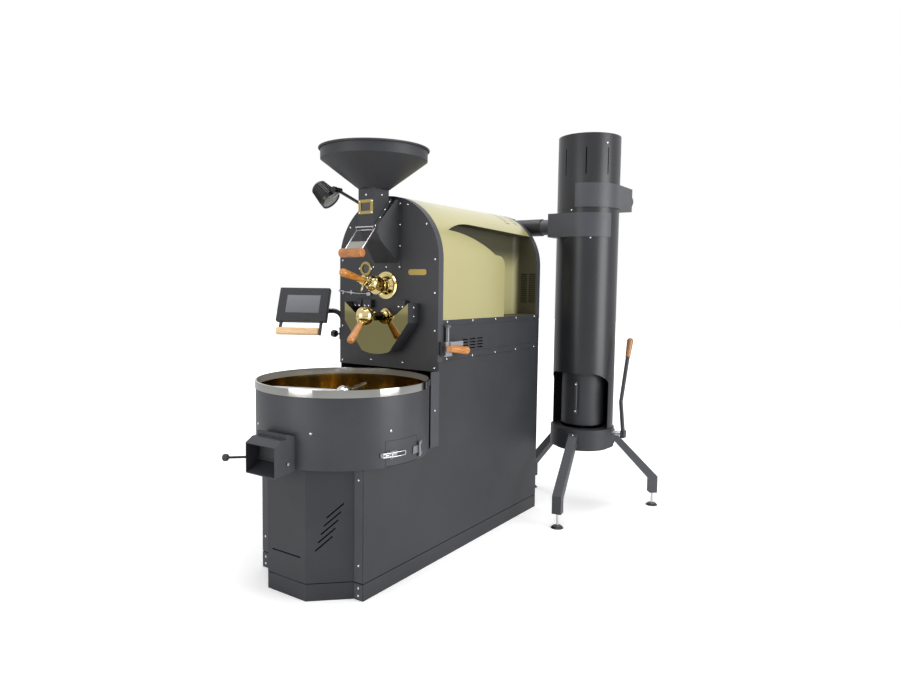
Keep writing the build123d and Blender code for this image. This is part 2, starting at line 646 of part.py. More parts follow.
def hopper_neck():
    """Square neck under the hopper with its sight opening, cut off along the gate's slope."""
    z1 = HOPPER_CONE_Z0
    z0 = GATE_FRONT[1] - 42
    neck = box(-NECK_HALF, NECK_HALF, NECK_Y0, NECK_Y1, z0, z1)
    neck -= box(-NECK_HALF + NECK_T, NECK_HALF - NECK_T, NECK_Y0 + NECK_T, NECK_Y1 - NECK_T,
                z0 - 10, z1 + 10)
    neck -= slope_slab(-250, 100, -200, GATE_SLOT, -60, 60)
    return neck - box(-28, 28, NECK_Y0 - 1, NECK_Y0 + NECK_T + 1, SIGHT_Z - 20, SIGHT_Z + 20)


def chute_profile(inset):
    """(y, z) outline of the feed chute, inset by its wall."""
    top = gate_plane_point(0, -inset)
    upper = (CHUTE_Z1 - inset - top[1]) / tan(radians(GATE_SLOPE))
    nose = (-266 + inset, 1335 + inset * 0.6)
    back = FACE_Y + (1 if inset else 0)
    return [(back, CHUTE_Z0 + inset), (back, CHUTE_Z1 - inset),
            (top[0] + upper, CHUTE_Z1 - inset), (top[0] + inset, top[1]), nose]


def chute_body(inset):
    """Solid filling the feed chute, which narrows from the faceplate to the gate."""
    wide = CHUTE_HALF - inset
    narrow = NECK_HALF - inset
    nose_y = GATE_FRONT[0] - 5
    plan = [(wide, FACE_Y + 5), (wide, FACE_Y), (narrow, GATE_FRONT[0]), (narrow, nose_y),
            (-narrow, nose_y), (-narrow, GATE_FRONT[0]), (-wide, FACE_Y), (-wide, FACE_Y + 5)]
    body = prism_x(chute_profile(inset), -CHUTE_HALF, CHUTE_HALF)
    return body & prism_z(plan, CHUTE_Z0 - 5, CHUTE_Z1 + 5)


def chute_box():
    """Feed chute on the faceplate, with its flange and the cheeks that guide the gate."""
    chute = chute_body(0) - chute_body(SHEET)
    chute -= slope_slab(-132, -12, -12, 4, -NECK_HALF + 6, NECK_HALF - 6)
    rim = CHUTE_HALF + CHUTE_FLANGE
    flange = box(-rim, rim, FACE_Y - SHEET, FACE_Y, CHUTE_Z0 - 26, CHUTE_Z1)
    flange -= box(-CHUTE_HALF + 12, CHUTE_HALF - 12, FACE_Y - 5, FACE_Y + 1, CHUTE_Z0 + 3, CHUTE_Z1 - 8)
    cheeks = [slope_slab(-158, 6, -12, 14, side * (NECK_HALF + 1.3) - 1.2,
                         side * (NECK_HALF + 1.3) + 1.2) for side in (-1, 1)]
    return chute + flange + cheeks[0] + cheeks[1]


def slide_gate():
    """Gate blade with its pull-out frame: two bright rods, a cross bar between ears and a grip plate."""
    half = NECK_HALF - 1
    low, high = 0.6, 0.6 + GATE_T
    rod_x = NECK_HALF + 0.4 + GATE_ROD_R
    gate = slope_slab(-125, 16, low, high, -half, half)
    gate += slope_slab(9, 16, low, high, -rod_x, rod_x)
    gate += slope_slab(GATE_OUT - 62, GATE_OUT - 12, low, high, -rod_x, rod_x)
    lift = low + GATE_ROD_R
    for x in (-rod_x, rod_x):
        gate += rod((x, *gate_plane_point(8, lift)), (x, *gate_plane_point(GATE_OUT - 6, lift)), GATE_ROD_R)
        ear = [gate_plane_point(8.5, low), gate_plane_point(26, low), gate_plane_point(9, 19)]
        gate += prism_x(ear, x - 1, x + 1)
    bar = gate_plane_point(10, 15.4)
    return gate + rod((-rod_x - 3, *bar), (rod_x + 3, *bar), GATE_ROD_R - 0.5)


def gate_handle():
    """Round wooden grip across the gate's lower end."""
    y, z = gate_plane_point(GATE_OUT, 1.6)
    grip = rod((-60, y, z), (58, y, z), GRIP_R)
    grip = fillet(grip.edges().filter_by(GeomType.CIRCLE), 5)
    return grip - slide_gate()


# ---------------------------------------------------------------- faceplate fittings
def bib_outline():
    """Closed outline of the bib in the (x, z) plane."""
    tx, tz = BIB_TIP
    cx, cz = BIB_CORNER
    fx, fz = BIB_FOOT
    sx, sz = BIB_SCOOP
    return make_face([
        Line((tx, tz), (cx, cz)), Line((cx, cz), (fx, fz)),
        ThreePointArc((fx, fz), (0, BIB_BOTTOM_Z), (-fx, fz)),
        Line((-fx, fz), (-cx, cz)), Line((-cx, cz), (-tx, tz)),
        Line((-tx, tz), (-sx, sz)),
        ThreePointArc((-sx, sz), (0, BIB_SCOOP_Z), (sx, sz)),
        Line((sx, sz), (tx, tz)),
    ])


def discharge_bib():
    """Mirror-finished front of the discharge box."""
    return push(Plane.XZ.offset(-(BIB_Y + BIB_T)), bib_outline(), BIB_T)


def discharge_box():
    """Side walls of the discharge box and the hinge blocks over it."""
    walls = []
    back = FACE_Y
    front = BIB_Y + BIB_T
    tx, tz = BIB_TIP
    cx, cz = BIB_CORNER
    fx, fz = BIB_FOOT
    outline = [(tx, tz), (cx, cz), (fx, fz), (fx - 3.2, fz + 2), (cx - SHEET - 0.8, cz + 0.8),
               (tx - SHEET, tz)]
    wall = prism_y(outline, front, back)
    walls += pair(wall)
    for x0, x1 in ((-169, -122), (-114, -68), (73, 118)):
        walls.append(box(x0, x1, BLOCK_Y, FACE_Y, BLOCK_Z, BLOCK_Z + 35))
    return walls


def brass_trim():
    """Sight-glass frame, porthole ring and the plain name plate."""
    frame = box(-39, 39, NECK_Y0 - 3, NECK_Y0, SIGHT_Z - 29, SIGHT_Z + 29)
    frame -= box(-25, 25, NECK_Y0 - 4, NECK_Y0 + 1, SIGHT_Z - 16.5, SIGHT_Z + 16.5)
    ring = rod((PORT_X, FACE_Y - 4, PORT_Z), (PORT_X, FACE_Y, PORT_Z), 31)
    for side in (-1, 1):
        x = PORT_X + side * 31
        ring += rod((x, FACE_Y - 4, PORT_Z), (x, FACE_Y, PORT_Z), 7)
    ring -= rod((PORT_X, FACE_Y - 6, PORT_Z), (PORT_X, FACE_Y + 1, PORT_Z), 20)
    plate = box(118, 212, FACE_Y - 2, FACE_Y, 1192, 1216)
    plate = fillet(plate.edges().filter_by(Axis.Y), 11)
    return [frame, ring, plate]


def sight_glasses():
    """Panes behind the brass frames."""
    pane = box(-27.8, 27.8, NECK_Y0, NECK_Y0 + NECK_T, SIGHT_Z - 19.8, SIGHT_Z + 19.8)
    disc = rod((PORT_X, FACE_Y, PORT_Z), (PORT_X, FACE_Y + FACE_T, PORT_Z), 23.8)
    return [pane, disc]


def trier_flange():
    """Brass trier housing: dished flange, waist and bell, bored along the trier's slope."""
    y = FACE_Y
    profile = Polygon((0, 0), (58, 0), (58, 5), (50, 7), (40, 5), (30, 16), (27, 36), (34, 50),
                      (38, 60), (38, 72), (0, 72), align=None)
    body = Pos(0, y, TRIER_Z) * Rot(90, 0, 0) * revolve(Plane.XZ * profile, Axis.Z)
    return body - trier_rod(-100, 60, SLEEVE_R + RUN_FIT)


def trier_sleeve():
    """Turning guide sleeve with its front collar."""
    sleeve = trier_rod(-58, 26, SLEEVE_R) + trier_rod(20, 27, 25)
    return sleeve - trier_rod(-60, 60, TRIER_R + RUN_FIT)


def trier():
    """Sampling scoop, its rod and the winged collar."""
    bar = trier_rod(-225, 96, TRIER_R)
    scoop = trier_rod(-218, -90, TRIER_R - 2)
    bar -= scoop
    bar -= box(-20, 20, -140, 20, DRUM_Z + 12, DRUM_Z + 60) & trier_rod(-218, -90, TRIER_R + 1)
    collar = trier_rod(70, 92, 19)
    y, z = trier_point(81)[1:]
    wings = rod((-34, y, z), (34, y, z), 7)
    return bar + collar + wings


def trier_handle():
    """Turned wooden trier handle."""
    return taper(trier_point(96), trier_point(206), 11, 17) + Pos(*trier_point(206)) * Sphere(17)


def discharge_lever():
    """Weighted ball lever: shaft, ball, hub disc and the door blade on one shaft."""
    lever = rod((0, BALL_Y, LEVER_Z), (0, FACE_Y + FACE_T + 3, LEVER_Z), LEVER_R)
    lever += Pos(0, BALL_Y, LEVER_Z) * Sphere(BALL_R)
    lever += taper((0, BALL_Y + 30, LEVER_Z), (0, FACE_Y - 12, LEVER_Z), 20, 12)
    lever += rod((0, FACE_Y - 12, LEVER_Z), (0, FACE_Y - 3.3, LEVER_Z), 26)
    blade = prism_y([(-50, 920), (50, 920), (50, 1004), (22, 1036), (-22, 1036), (-50, 1004)],
                    FACE_Y - 3.3, FACE_Y - 0.3)
    return lever + blade


HANDLE_DIR = (0, -0.6595, -0.7517)


def discharge_handle():
    """Wooden handle of the ball lever."""
    root = Vector(0, BALL_Y, LEVER_Z)
    p = root + Vector(*HANDLE_DIR) * (BALL_R - 1)
    q = root + Vector(*HANDLE_DIR) * 126
    ball = Pos(0, BALL_Y, LEVER_Z) * Sphere(BALL_R)
    return (taper(tuple(p), tuple(q), 11, 16) + Pos(*tuple(q)) * Sphere(16)) - ball


def damper_block():
    """Damper spindle block on the control strip, with the guide rod over it."""
    block = box(HALF_W, DAMPER_BLOCK_X, DAMPER_Y - 29, DAMPER_Y + 18, DAMPER_Z - 29, DAMPER_Z + 31)
    block -= rod((HALF_W - 1, DAMPER_Y, DAMPER_Z), (DAMPER_BLOCK_X + 1, DAMPER_Y, DAMPER_Z), 8 + RUN_FIT)
    rod_x = HALF_W + 10
    guide = rod((rod_x, DAMPER_Y - 3, DAMPER_Z + 31), (rod_x, DAMPER_Y - 3, STRIP_Z1 - 20), 9)
    clamp = box(HALF_W, rod_x + 10, DAMPER_Y - 14, DAMPER_Y + 8, STRIP_Z1 - 30, STRIP_Z1 - 20)
    bracket = box(HALF_W, DAMPER_BLOCK_X - 6, DAMPER_Y - 47, DAMPER_Y - 29, DAMPER_Z - 24, DAMPER_Z + 32)
    return [block + guide + clamp, bracket]


def damper_handle():
    """Damper spindle, pointer plate and wooden lever."""
    x = DAMPER_BLOCK_X
    spindle = rod((HALF_W + 1, DAMPER_Y, DAMPER_Z), (x + 12, DAMPER_Y, DAMPER_Z), 8)
    pointer = box(x + 0.4, x + 5, DAMPER_Y, DAMPER_Y + 93, DAMPER_Z + 10, DAMPER_Z + 30)
    pointer += rod((x + 0.4, DAMPER_Y, DAMPER_Z), (x + 5, DAMPER_Y, DAMPER_Z), 16)
    wood_x = x + 21
    start = (wood_x, DAMPER_Y - 36, DAMPER_Z + 5)
    end = (wood_x, DAMPER_Y + 91, DAMPER_Z - 9)
    wood = taper(start, end, 13, 17) + Pos(*end) * Sphere(17)
    wood -= box(x - 5, x + 5, DAMPER_Y - 60, DAMPER_Y + 150, DAMPER_Z - 40, DAMPER_Z + 40)
    return [(spindle - wood) + pointer, wood]


def lead_path(points):
    """Smooth route through hand-set points, each corner with its largest arc."""
    vectors = [Vector(*p) for p in points]
    radii = []
    for a, b, c in zip(vectors, vectors[1:], vectors[2:]):
        turn = (b - a).get_angle(c - b)
        radii.append(0.45 * min((b - a).length, (c - b).length) / tan(radians(turn / 2)))
    return FilletPolyline(*points, radius=radii)


LEAD_ROUTE = [
    (-HALF_W + 8, FACE_Y - 4.5, 1122), (-HALF_W + 34, FACE_Y - 4.5, 1116.5), (-204, FACE_Y - 4.5, 1114.5),
    (-166, FACE_Y - 4.5, 1110.5), (-134, FACE_Y - 4.5, 1110.8), (-104, FACE_Y - 4.5, PROBE_Z),
]


def probe_lead():
    """Bean probe: braided lead, its edge gland, two clips and the screwed probe head."""
    path = lead_path(LEAD_ROUTE)
    start, end = LEAD_ROUTE[0], LEAD_ROUTE[-1]
    lead = sweep(Plane(origin=path @ 0, z_dir=path % 0) * Circle(LEAD_R), path)
    gland = box(start[0] - 8, start[0], FACE_Y - 9, FACE_Y, start[2] - 5, start[2] + 5)
    head = box(end[0], end[0] + 20, FACE_Y - 10, FACE_Y, PROBE_Z - 6, PROBE_Z + 6)
    stem = rod((PROBE_X, FACE_Y, PROBE_Z), (PROBE_X, FACE_Y + 60, PROBE_Z), 3)
    clips = [box(x - 4, x + 4, FACE_Y - 1.4, FACE_Y, 1107, 1124) for x in (-HALF_W + 19, -HALF_W + 67)]
    return [lead, gland, head + stem] + clips


# ---------------------------------------------------------------- cooling bin
def bin_shell():
    """Cooling bin: wall, bottom, floor ledge, bean outlet and clean-out opening."""
    at = (0, BIN_Y)
    wall = tube((*at, BIN_Z0), (*at, BIN_RIM_Z), BIN_R, BIN_R - BIN_T)
    bottom = rod((*at, BIN_Z0), (*at, BIN_Z0 + 3), BIN_R - 1)
    bottom -= rod((*at, BIN_Z0 - 1), (*at, BIN_Z0 + 4), STIR_R + 4)
    ledge = tube((*at, FLOOR_Z - 8), (*at, FLOOR_Z), BIN_R - 1, BIN_R - 14)
    shell = wall + bottom + ledge
    shell -= box(-71, 71, BIN_Y - BIN_R - 5, BIN_Y - BIN_R + 51, BIN_Z0 + 4, FLOOR_Z + 1)
    door = sector(0, BIN_Y, BIN_R + 10, DOOR_A0, DOOR_A1, BIN_Z0 + 1.5, DOOR_Z1)
    shell -= door - rod((*at, BIN_Z0), (*at, DOOR_Z1 + 1), BIN_R - 20)
    for z0, z1 in ((505, 517.7), (547.3, 560)):
        shell += hinge_knuckle(z0, z1) + shell_patch(0, BIN_Y, BIN_R - 0.5, BIN_R + 3.5, HINGE_A + 0.2,
                                                     HINGE_A + 4.5, z0, z1)
    pin_x, pin_y = polar(0, BIN_Y, BIN_R + 6, HINGE_A)
    shell += rod((pin_x, pin_y, 506), (pin_x, pin_y, 559), 2.2)
    shell += shell_patch(0, BIN_Y, BIN_R - 0.5, BIN_R + 3.2, DOOR_A0 - 3.4, DOOR_A0 - 1.2, 528, 545)
    return shell


def hinge_knuckle(z0, z1):
    x, y = polar(0, BIN_Y, BIN_R + 6, HINGE_A)
    return rod((x, y, z0), (x, y, z1), 5)


def bin_door():
    """Curved clean-out door with its hinge leaf and latch hook."""
    door = shell_patch(0, BIN_Y, BIN_R - BIN_T, BIN_R, DOOR_A0 + 0.2, DOOR_A1 - 0.25,
                       BIN_Z0 + 3.5, DOOR_Z1 - 1)
    leaf = shell_patch(0, BIN_Y, BIN_R - 0.5, BIN_R + 3.5, DOOR_A1 - 5, DOOR_A1 - 0.3, 518.2, 546.8)
    x, y = polar(0, BIN_Y, BIN_R + 6, HINGE_A)
    strap = shell_patch(0, BIN_Y, BIN_R + 1.2, BIN_R + 3.5, DOOR_A1 - 1.2, HINGE_A, 518.2, 546.8)
    knuckle = hinge_knuckle(518.2, 546.8)
    base = shell_patch(0, BIN_Y, BIN_R - 0.5, BIN_R + 3, LATCH_A - 2, LATCH_A + 5, 524, 548)
    lx, ly = polar(0, BIN_Y, BIN_R + 8, LATCH_A)
    ears = rod((lx, ly, 522), (lx, ly, 526), 5) + rod((lx, ly, 546), (lx, ly, 550), 5)
    ears += shell_patch(0, BIN_Y, BIN_R + 2, BIN_R + 8, LATCH_A - 0.8, LATCH_A + 0.8, 522, 526)
    ears += shell_patch(0, BIN_Y, BIN_R + 2, BIN_R + 8, LATCH_A - 0.8, LATCH_A + 0.8, 546, 550)
    hook = shell_patch(0, BIN_Y, BIN_R + 3.6, BIN_R + 5.6, DOOR_A0 - 3.6, LATCH_A - 1.8, 531, 542)
    hook += shell_patch(0, BIN_Y, BIN_R + 2, BIN_R + 5, LATCH_A - 2, LATCH_A - 1.2, 531, 542)
    body = door + leaf + strap + knuckle + base + ears + hook
    return body - rod((x, y, 500), (x, y, 565), 2.2 + RUN_FIT)


def door_latch():
    """Over-centre lever of the clean-out door."""
    lx, ly = polar(0, BIN_Y, BIN_R + 8, LATCH_A)
    pivot = rod((lx, ly, 526.3), (lx, ly, 545.7), 4.5)
    arm = shell_patch(0, BIN_Y, BIN_R + 7, BIN_R + 9.5, LATCH_A, LATCH_A + 10.5, 527, 545)
    lip = shell_patch(0, BIN_Y, BIN_R + 7, BIN_R + 14, LATCH_A + 9.7, LATCH_A + 10.5, 527, 545)
    return pivot + arm + lip


def bin_rim():
    """Polished band round the bin's mouth, rolled over its edge."""
    at = (0, BIN_Y)
    band = tube((*at, BIN_RIM_Z - RIM_H), (*at, BIN_RIM_Z), RIM_R, BIN_R)
    return band + tube((*at, BIN_RIM_Z), (*at, BIN_RIM_Z + 2), RIM_R, BIN_R - BIN_T - 1)


def bin_floor():
    """Bean floor with the drop slot over the outlet."""
    at = (0, BIN_Y)
    disc = rod((*at, FLOOR_Z), (*at, FLOOR_Z + 2), BIN_R - BIN_T - 0.3)
    disc -= rod((*at, FLOOR_Z - 1), (*at, FLOOR_Z + 3), STIR_R + 4)
    return disc - box(-60, 60, BIN_Y - BIN_R + 15, BIN_Y - BIN_R + 69, FLOOR_Z - 1, FLOOR_Z + 3)


def bin_chute():
    """Outlet chute: hood, side cheeks, sloping floor and the ramp under the drop slot."""
    h = CHUTE_MOUTH_HALF
    y = CHUTE_MOUTH_Y
    lip = DECK_Z + 97
    floor = DECK_Z + 27
    top = FLOOR_Z + 18
    tail = BIN_Y - BIN_R + 36
    outline = [(y, DECK_Z - 13), (y, lip), (y + 31, FLOOR_Z + 1), (y + 53, FLOOR_Z + 2), (y + 53, top),
               (y + 62, top), (tail, FLOOR_Z - 2), (tail, DECK_Z + 1)]
    hollow = [(y - 1, DECK_Z - 10), (y - 1, lip - 3), (y + 32, FLOOR_Z - 2), (tail + 1, FLOOR_Z - 2),
              (tail + 1, floor), (tail - 38, floor - 2)]
    hood = prism_x(outline, -h, h) - prism_x(hollow, -h + SHEET, h - SHEET)
    hood -= rod((0, BIN_Y, DECK_Z - 27), (0, BIN_Y, FLOOR_Z + 38), BIN_R + 0.1)
    for side in (-1, 1):
        hood -= rod((side * (h - 6), FLAP_Y, FLAP_Z), (side * (h + 6), FLAP_Y, FLAP_Z), 5 + RUN_FIT)
    ramp_end = BIN_Y - BIN_R + 69
    side = [(tail - 34, floor), (tail - 34, floor + 3), (ramp_end, FLOOR_Z), (ramp_end + 3, FLOOR_Z)]
    ramp = prism_x(side, -62, 62)
    return [hood, ramp]


def bin_flap():
    """Outlet flap on its axle, with the outside lever and round knob."""
    reach = CHUTE_MOUTH_HALF + 22
    flap = rod((-reach, FLAP_Y, FLAP_Z), (CHUTE_MOUTH_HALF + 5, FLAP_Y, FLAP_Z), 5)
    flap += box(-70, 70, FLAP_Y - 1.5, FLAP_Y + 1.5, FLAP_Z, FLAP_Z + 78)
    tip = (-reach + 4, FLAP_Y - 122, FLAP_Z + 22)
    lever = rod((-reach + 4, FLAP_Y, FLAP_Z), tip, 4.5)
    end = (-reach + 4, FLAP_Y - 138, FLAP_Z + 25)
    knob = rod(tip, end, 13)
    knob = fillet(knob.edges(), 5)
    return [flap + lever, knob]


def bin_drive():
    """Stirrer gearmotor under the deck and the cooling-fan casing in the base."""
    gear = box(-70, 70, BIN_Y - 60, BIN_Y + 60, 380, DECK_Z)
    gear += rod((0, BIN_Y, 230), (0, BIN_Y, 380), 58)
    gear -= rod((0, BIN_Y, 420), (0, BIN_Y, DECK_Z + 1), STIR_R + RUN_FIT)
    fan = rod((0, 150, SHEET), (0, 150, 150), 170)
    fan += box(-60, 170, -40, 60, SHEET, 150)
    return [gear, fan]


def stirrer():
    """Stirring spindle with its domed hub, four arms and angled blades."""
    shaft = rod((0, BIN_Y, 425), (0, BIN_Y, ARM_Z), STIR_R)
    hub = rod((0, BIN_Y, ARM_Z - 22), (0, BIN_Y, HUB_TOP - 26), HUB_R)
    dome = Pos(0, BIN_Y, HUB_TOP - HUB_R) * Sphere(HUB_R)
    dome &= rod((0, BIN_Y, HUB_TOP - 30), (0, BIN_Y, HUB_TOP + 1), HUB_R + 1)
    body = shaft + hub + dome
    for k in range(4):
        turn = 20 + 90 * k
        longer = k % 2 == 0
        reach = BIN_R - ARM_GAP - (0 if longer else 90)
        arm = rod((HUB_R - 10, 0, ARM_Z), (reach, 0, ARM_Z), 8)
        for n in range(3 if longer else 2):
            r = reach - 40 - BLADE_PITCH * n
            blade = Pos(r, 0, (FLOOR_Z + 4 + ARM_Z) / 2) * Rot(0, 0, 35) * Box(
                58, 3, ARM_Z - FLOOR_Z - 4)
            arm += blade
        body += Pos(0, BIN_Y, 0) * Rot(0, 0, turn) * arm
    return body


# ---------------------------------------------------------------- cyclone
def at_cyclone(part):
    return Pos(CYC_X, CYC_Y, 0) * part


def wrap_band(a0, a1, z0, z1):
    """Outer skin that leads a tangential duct onto the cyclone's wall."""
    return shell_patch(CYC_X, CYC_Y, CYC_R - 0.5, CYC_R + BAND_T, a0, a1, z0, z1)


def window_cut():
    """Cutter for the window with rounded upper corners."""
    half = CYC_R * sin(radians(WINDOW_HALF_ANGLE))
    depth = CYC_Y - CYC_R * cos(radians(WINDOW_HALF_ANGLE))
    block = box(CYC_X - half, CYC_X + half, CYC_Y - CYC_R - 20, depth, WINDOW_Z0 - 5, WINDOW_Z1)
    top = block.edges().filter_by(Axis.Y).sort_by(Axis.Z)[-2:]
    return fillet(top, 55)


def cyclone_body():
    """Cyclone tube with its inlet duct, chaff outlet ring and service window."""
    z0, z1 = LOWER_DUCT_Z
    y0 = CYC_Y - CYC_R - BAND_T + 0.5
    centre = (CYC_X, CYC_Y)
    outer = rod((*centre, WINDOW_Z0), (*centre, CYC_JOIN_Z - 1), CYC_R)
    outer += box(LOWER_DUCT_X, CYC_X, y0, y0 + DUCT_W, z0, z1)
    outer += wrap_band(-91, -22, z0, z1)
    mid = y0 + DUCT_W / 2
    outer += rod((LOWER_DUCT_X - 72, mid, EXHAUST_Z), (LOWER_DUCT_X, mid, EXHAUST_Z), STUB_R)
    inner = rod((*centre, WINDOW_Z0 - 1), (*centre, CYC_JOIN_Z), CYC_R - CYC_T)
    inner += box(LOWER_DUCT_X + 2, CYC_X, y0 + 2, y0 + DUCT_W - 2, z0 + 2, z1 - 2)
    inner += rod((LOWER_DUCT_X - 73, mid, EXHAUST_Z), (LOWER_DUCT_X + 5, mid, EXHAUST_Z), STUB_R - 2)
    body = outer - inner - window_cut()
    seat = tube((*centre, CHAFF_Z1 + 0.3), (*centre, CHAFF_Z1 + 3.3), CYC_R - CYC_T, CHAFF_R - 30)
    return body + seat


def cyclone_cap():
    """Upper section with its outlet duct and relief slits."""
    z0, z1 = UPPER_DUCT_Z
    x1 = CYC_X + CYC_R + BAND_T - 0.5
    mid = x1 - DUCT_W / 2
    zc = (z0 + z1) / 2
    centre = (CYC_X, CYC_Y)
    outer = rod((*centre, CYC_JOIN_Z), (*centre, CYC_TOP), CYC_R)
    outer += box(x1 - DUCT_W, x1, CYC_Y, UPPER_DUCT_Y, z0, z1)
    outer += wrap_band(-91, 1, z0, z1)
    outer += rod((mid, UPPER_DUCT_Y, zc), (mid, UPPER_DUCT_Y + 40, zc), STUB_R)
    inner = rod((*centre, CYC_JOIN_Z - 1), (*centre, CYC_TOP - 3), CYC_R - CYC_T)
    inner += box(x1 - DUCT_W + 2, x1 - 2, CYC_Y, UPPER_DUCT_Y - 2, z0 + 2, z1 - 2)
    inner += rod((mid, UPPER_DUCT_Y - 5, zc), (mid, UPPER_DUCT_Y + 41, zc), STUB_R - 2)
    cap = outer - inner
    for k in range(9):
        angle = -113.5 + 41.0 * k
        x, y = polar(CYC_X, CYC_Y, CYC_R, angle)
        normal = (cos(radians(angle)), sin(radians(angle)), 0)
        cap -= slot_cut((x, y, CYC_TOP - 134), (0, 0, 1), normal, 130, SLOT_W, 8)
    lip = tube((*centre, CYC_JOIN_Z - 20), (*centre, CYC_JOIN_Z), CYC_R - CYC_T - 0.2, CYC_R - CYC_T - 2)
    lip += tube((*centre, CYC_JOIN_Z), (*centre, CYC_JOIN_Z + 6), CYC_R - 1, CYC_R - CYC_T - 2)
    return cap + lip


def exhaust_pipe():
    """Outlet box on the cabinet's back and the pipe to the cyclone."""
    y = CYC_Y - CYC_R - BAND_T + 0.5 + DUCT_W / 2
    bx = 68.0
    casing = box(-bx, bx, REAR_Y, y + PIPE_R + 4, EXHAUST_Z - 55, EXHAUST_Z + 55)
    casing -= box(-bx + 3, bx - 3, REAR_Y - 1, y + PIPE_R + 1, EXHAUST_Z - 52, EXHAUST_Z + 52)
    end = LOWER_DUCT_X - 52
    pipe = rod((bx - 1, y, EXHAUST_Z), (end, y, EXHAUST_Z), PIPE_R)
    bore = rod((bx - 5, y, EXHAUST_Z), (end + 1, y, EXHAUST_Z), STUB_R + 0.3)
    return casing + pipe - bore


def cyclone_base():
    """Skirt with its top ring, round bottom and the guide of the lifting post."""
    centre = (CYC_X, CYC_Y)
    z1 = WINDOW_Z0
    skirt = tube((*centre, SKIRT_Z0), (*centre, z1), SKIRT_R, SKIRT_R - 4)
    skirt += tube((*centre, z1 - 4), (*centre, z1), SKIRT_R - 1, CHAFF_R - 4)
    skirt += rod((*centre, SKIRT_Z0 - 12), (*centre, SKIRT_Z0), 140)
    skirt += rod((*centre, SKIRT_Z0), (*centre, SKIRT_Z0 + 4), SKIRT_R - 1)
    skirt += rod((*centre, SKIRT_Z0), (*centre, SKIRT_Z0 + 40), 22)
    skirt -= rod((*centre, SKIRT_Z0 - 13), (*centre, SKIRT_Z0 + 50), 12 + RUN_FIT)
    skirt -= rod((CYC_X + 130, CYC_Y, LIFT_Z), (CYC_X + 180, CYC_Y, LIFT_Z), 11 + RUN_FIT)
    return skirt


def leg_profile():
    """(r, z) outline of one bent leg."""
    r_in = FOOT_RADIUS - 20
    r_out = FOOT_RADIUS + 20
    return [(SKIRT_R + 6, 400), (SKIRT_R + 6, 352), (r_in, 140), (r_in, 70), (r_out, 70), (r_out, 158)]


def cyclone_legs():
    """Three bent legs with their mounting plates and levelling feet."""
    parts = []
    for angle in LEG_ANGLES:
        leg = prism_x(leg_profile(), -LEG_W / 2, LEG_W / 2)
        leg += box(-LEG_W / 2, LEG_W / 2, SKIRT_R - 8, SKIRT_R + 6, 338, 414)
        leg -= rod((0, 0, 300), (0, 0, 500), SKIRT_R + 0.1)
        foot = taper((0, FOOT_RADIUS, 0), (0, FOOT_RADIUS, 10), FOOT_R, FOOT_R - 9)
        foot += rod((0, FOOT_RADIUS, 8), (0, FOOT_RADIUS, 70), 6)
        turn = Rot(0, 0, angle - 90)
        parts += [at_cyclone(turn * leg), at_cyclone(turn * foot)]
    return parts


def chaff_drum():
    """Open-topped chaff drum on its lifting post, with a bar handle in front."""
    centre = (CYC_X, CYC_Y)
    body = tube((*centre, CHAFF_Z0), (*centre, CHAFF_Z1), CHAFF_R, CHAFF_R - 2)
    body += rod((*centre, CHAFF_Z0), (*centre, CHAFF_Z0 + 3), CHAFF_R - 1)
    body += rod((*centre, CHAFF_Z0 - 6), (*centre, CHAFF_Z0), CHAFF_R - 10)
    body += rod((*centre, SKIRT_Z0 + 2), (*centre, CHAFF_Z0 - 5), 12)
    angle = -82.0
    x0, y0 = polar(CYC_X, CYC_Y, CHAFF_R - 1, angle)
    x1, y1 = polar(CYC_X, CYC_Y, CHAFF_R + 24, angle)
    for z in (525.0, 662.0):
        body += rod((x0, y0, z), (x1, y1, z), 6)
    bar_top = (x1, y1, 676)
    body += rod((x1, y1, 511), bar_top, 8)
    return body


def lift_lever():
    """Lift lever: shaft with its cam, block and cranked bar."""
    shaft = rod((CYC_X + 138, CYC_Y, LIFT_Z), (LIFT_X - 8, CYC_Y, LIFT_Z), 11)
    cam = rod((CYC_X + 138, CYC_Y, LIFT_Z), (CYC_X + 150, CYC_Y, LIFT_Z), 14)
    block = box(LIFT_X - 10, LIFT_X + 10, CYC_Y - 18, CYC_Y + 18, LIFT_Z - 18, LIFT_Z + 18)
    path = [(CYC_Y - 13, LIFT_Z), (CYC_Y + 13, LIFT_Z), (CYC_Y - 33, 582), (CYC_Y + 44, 797),
            (CYC_Y + 20, 806), (CYC_Y - 57, 582)]
    bar = prism_x(path, LIFT_X - 6, LIFT_X + 6)
    return shaft + cam + block + bar


def lift_grip():
    """Wooden grip on the lift lever."""
    start = (LIFT_X, CYC_Y + 32, 801)
    end = (LIFT_X, CYC_Y + 60, 881)
    return taper(start, end, 12, 16) + Pos(*end) * Sphere(16) - lift_lever()


# ---------------------------------------------------------------- touch screen
SCREEN_RIGHT = (cos(radians(SCREEN_TURN)), sin(radians(SCREEN_TURN)), 0)
SCREEN_NORMAL = (sin(radians(SCREEN_TURN)) * cos(radians(SCREEN_TILT)),
                 -cos(radians(SCREEN_TURN)) * cos(radians(SCREEN_TILT)), sin(radians(SCREEN_TILT)))
SCREEN_PLANE = Plane(origin=Vector(*SCREEN_C), x_dir=Vector(*SCREEN_RIGHT), z_dir=Vector(*SCREEN_NORMAL))
TILT_BACK = SCREEN_D + 20      # tilt axis, this far behind the screen's face


def screen_point(x, y, out):
    """World point for screen coordinates: right, up and out of its face."""
    return tuple(SCREEN_PLANE.from_local_coords(Vector(x, y, out)))


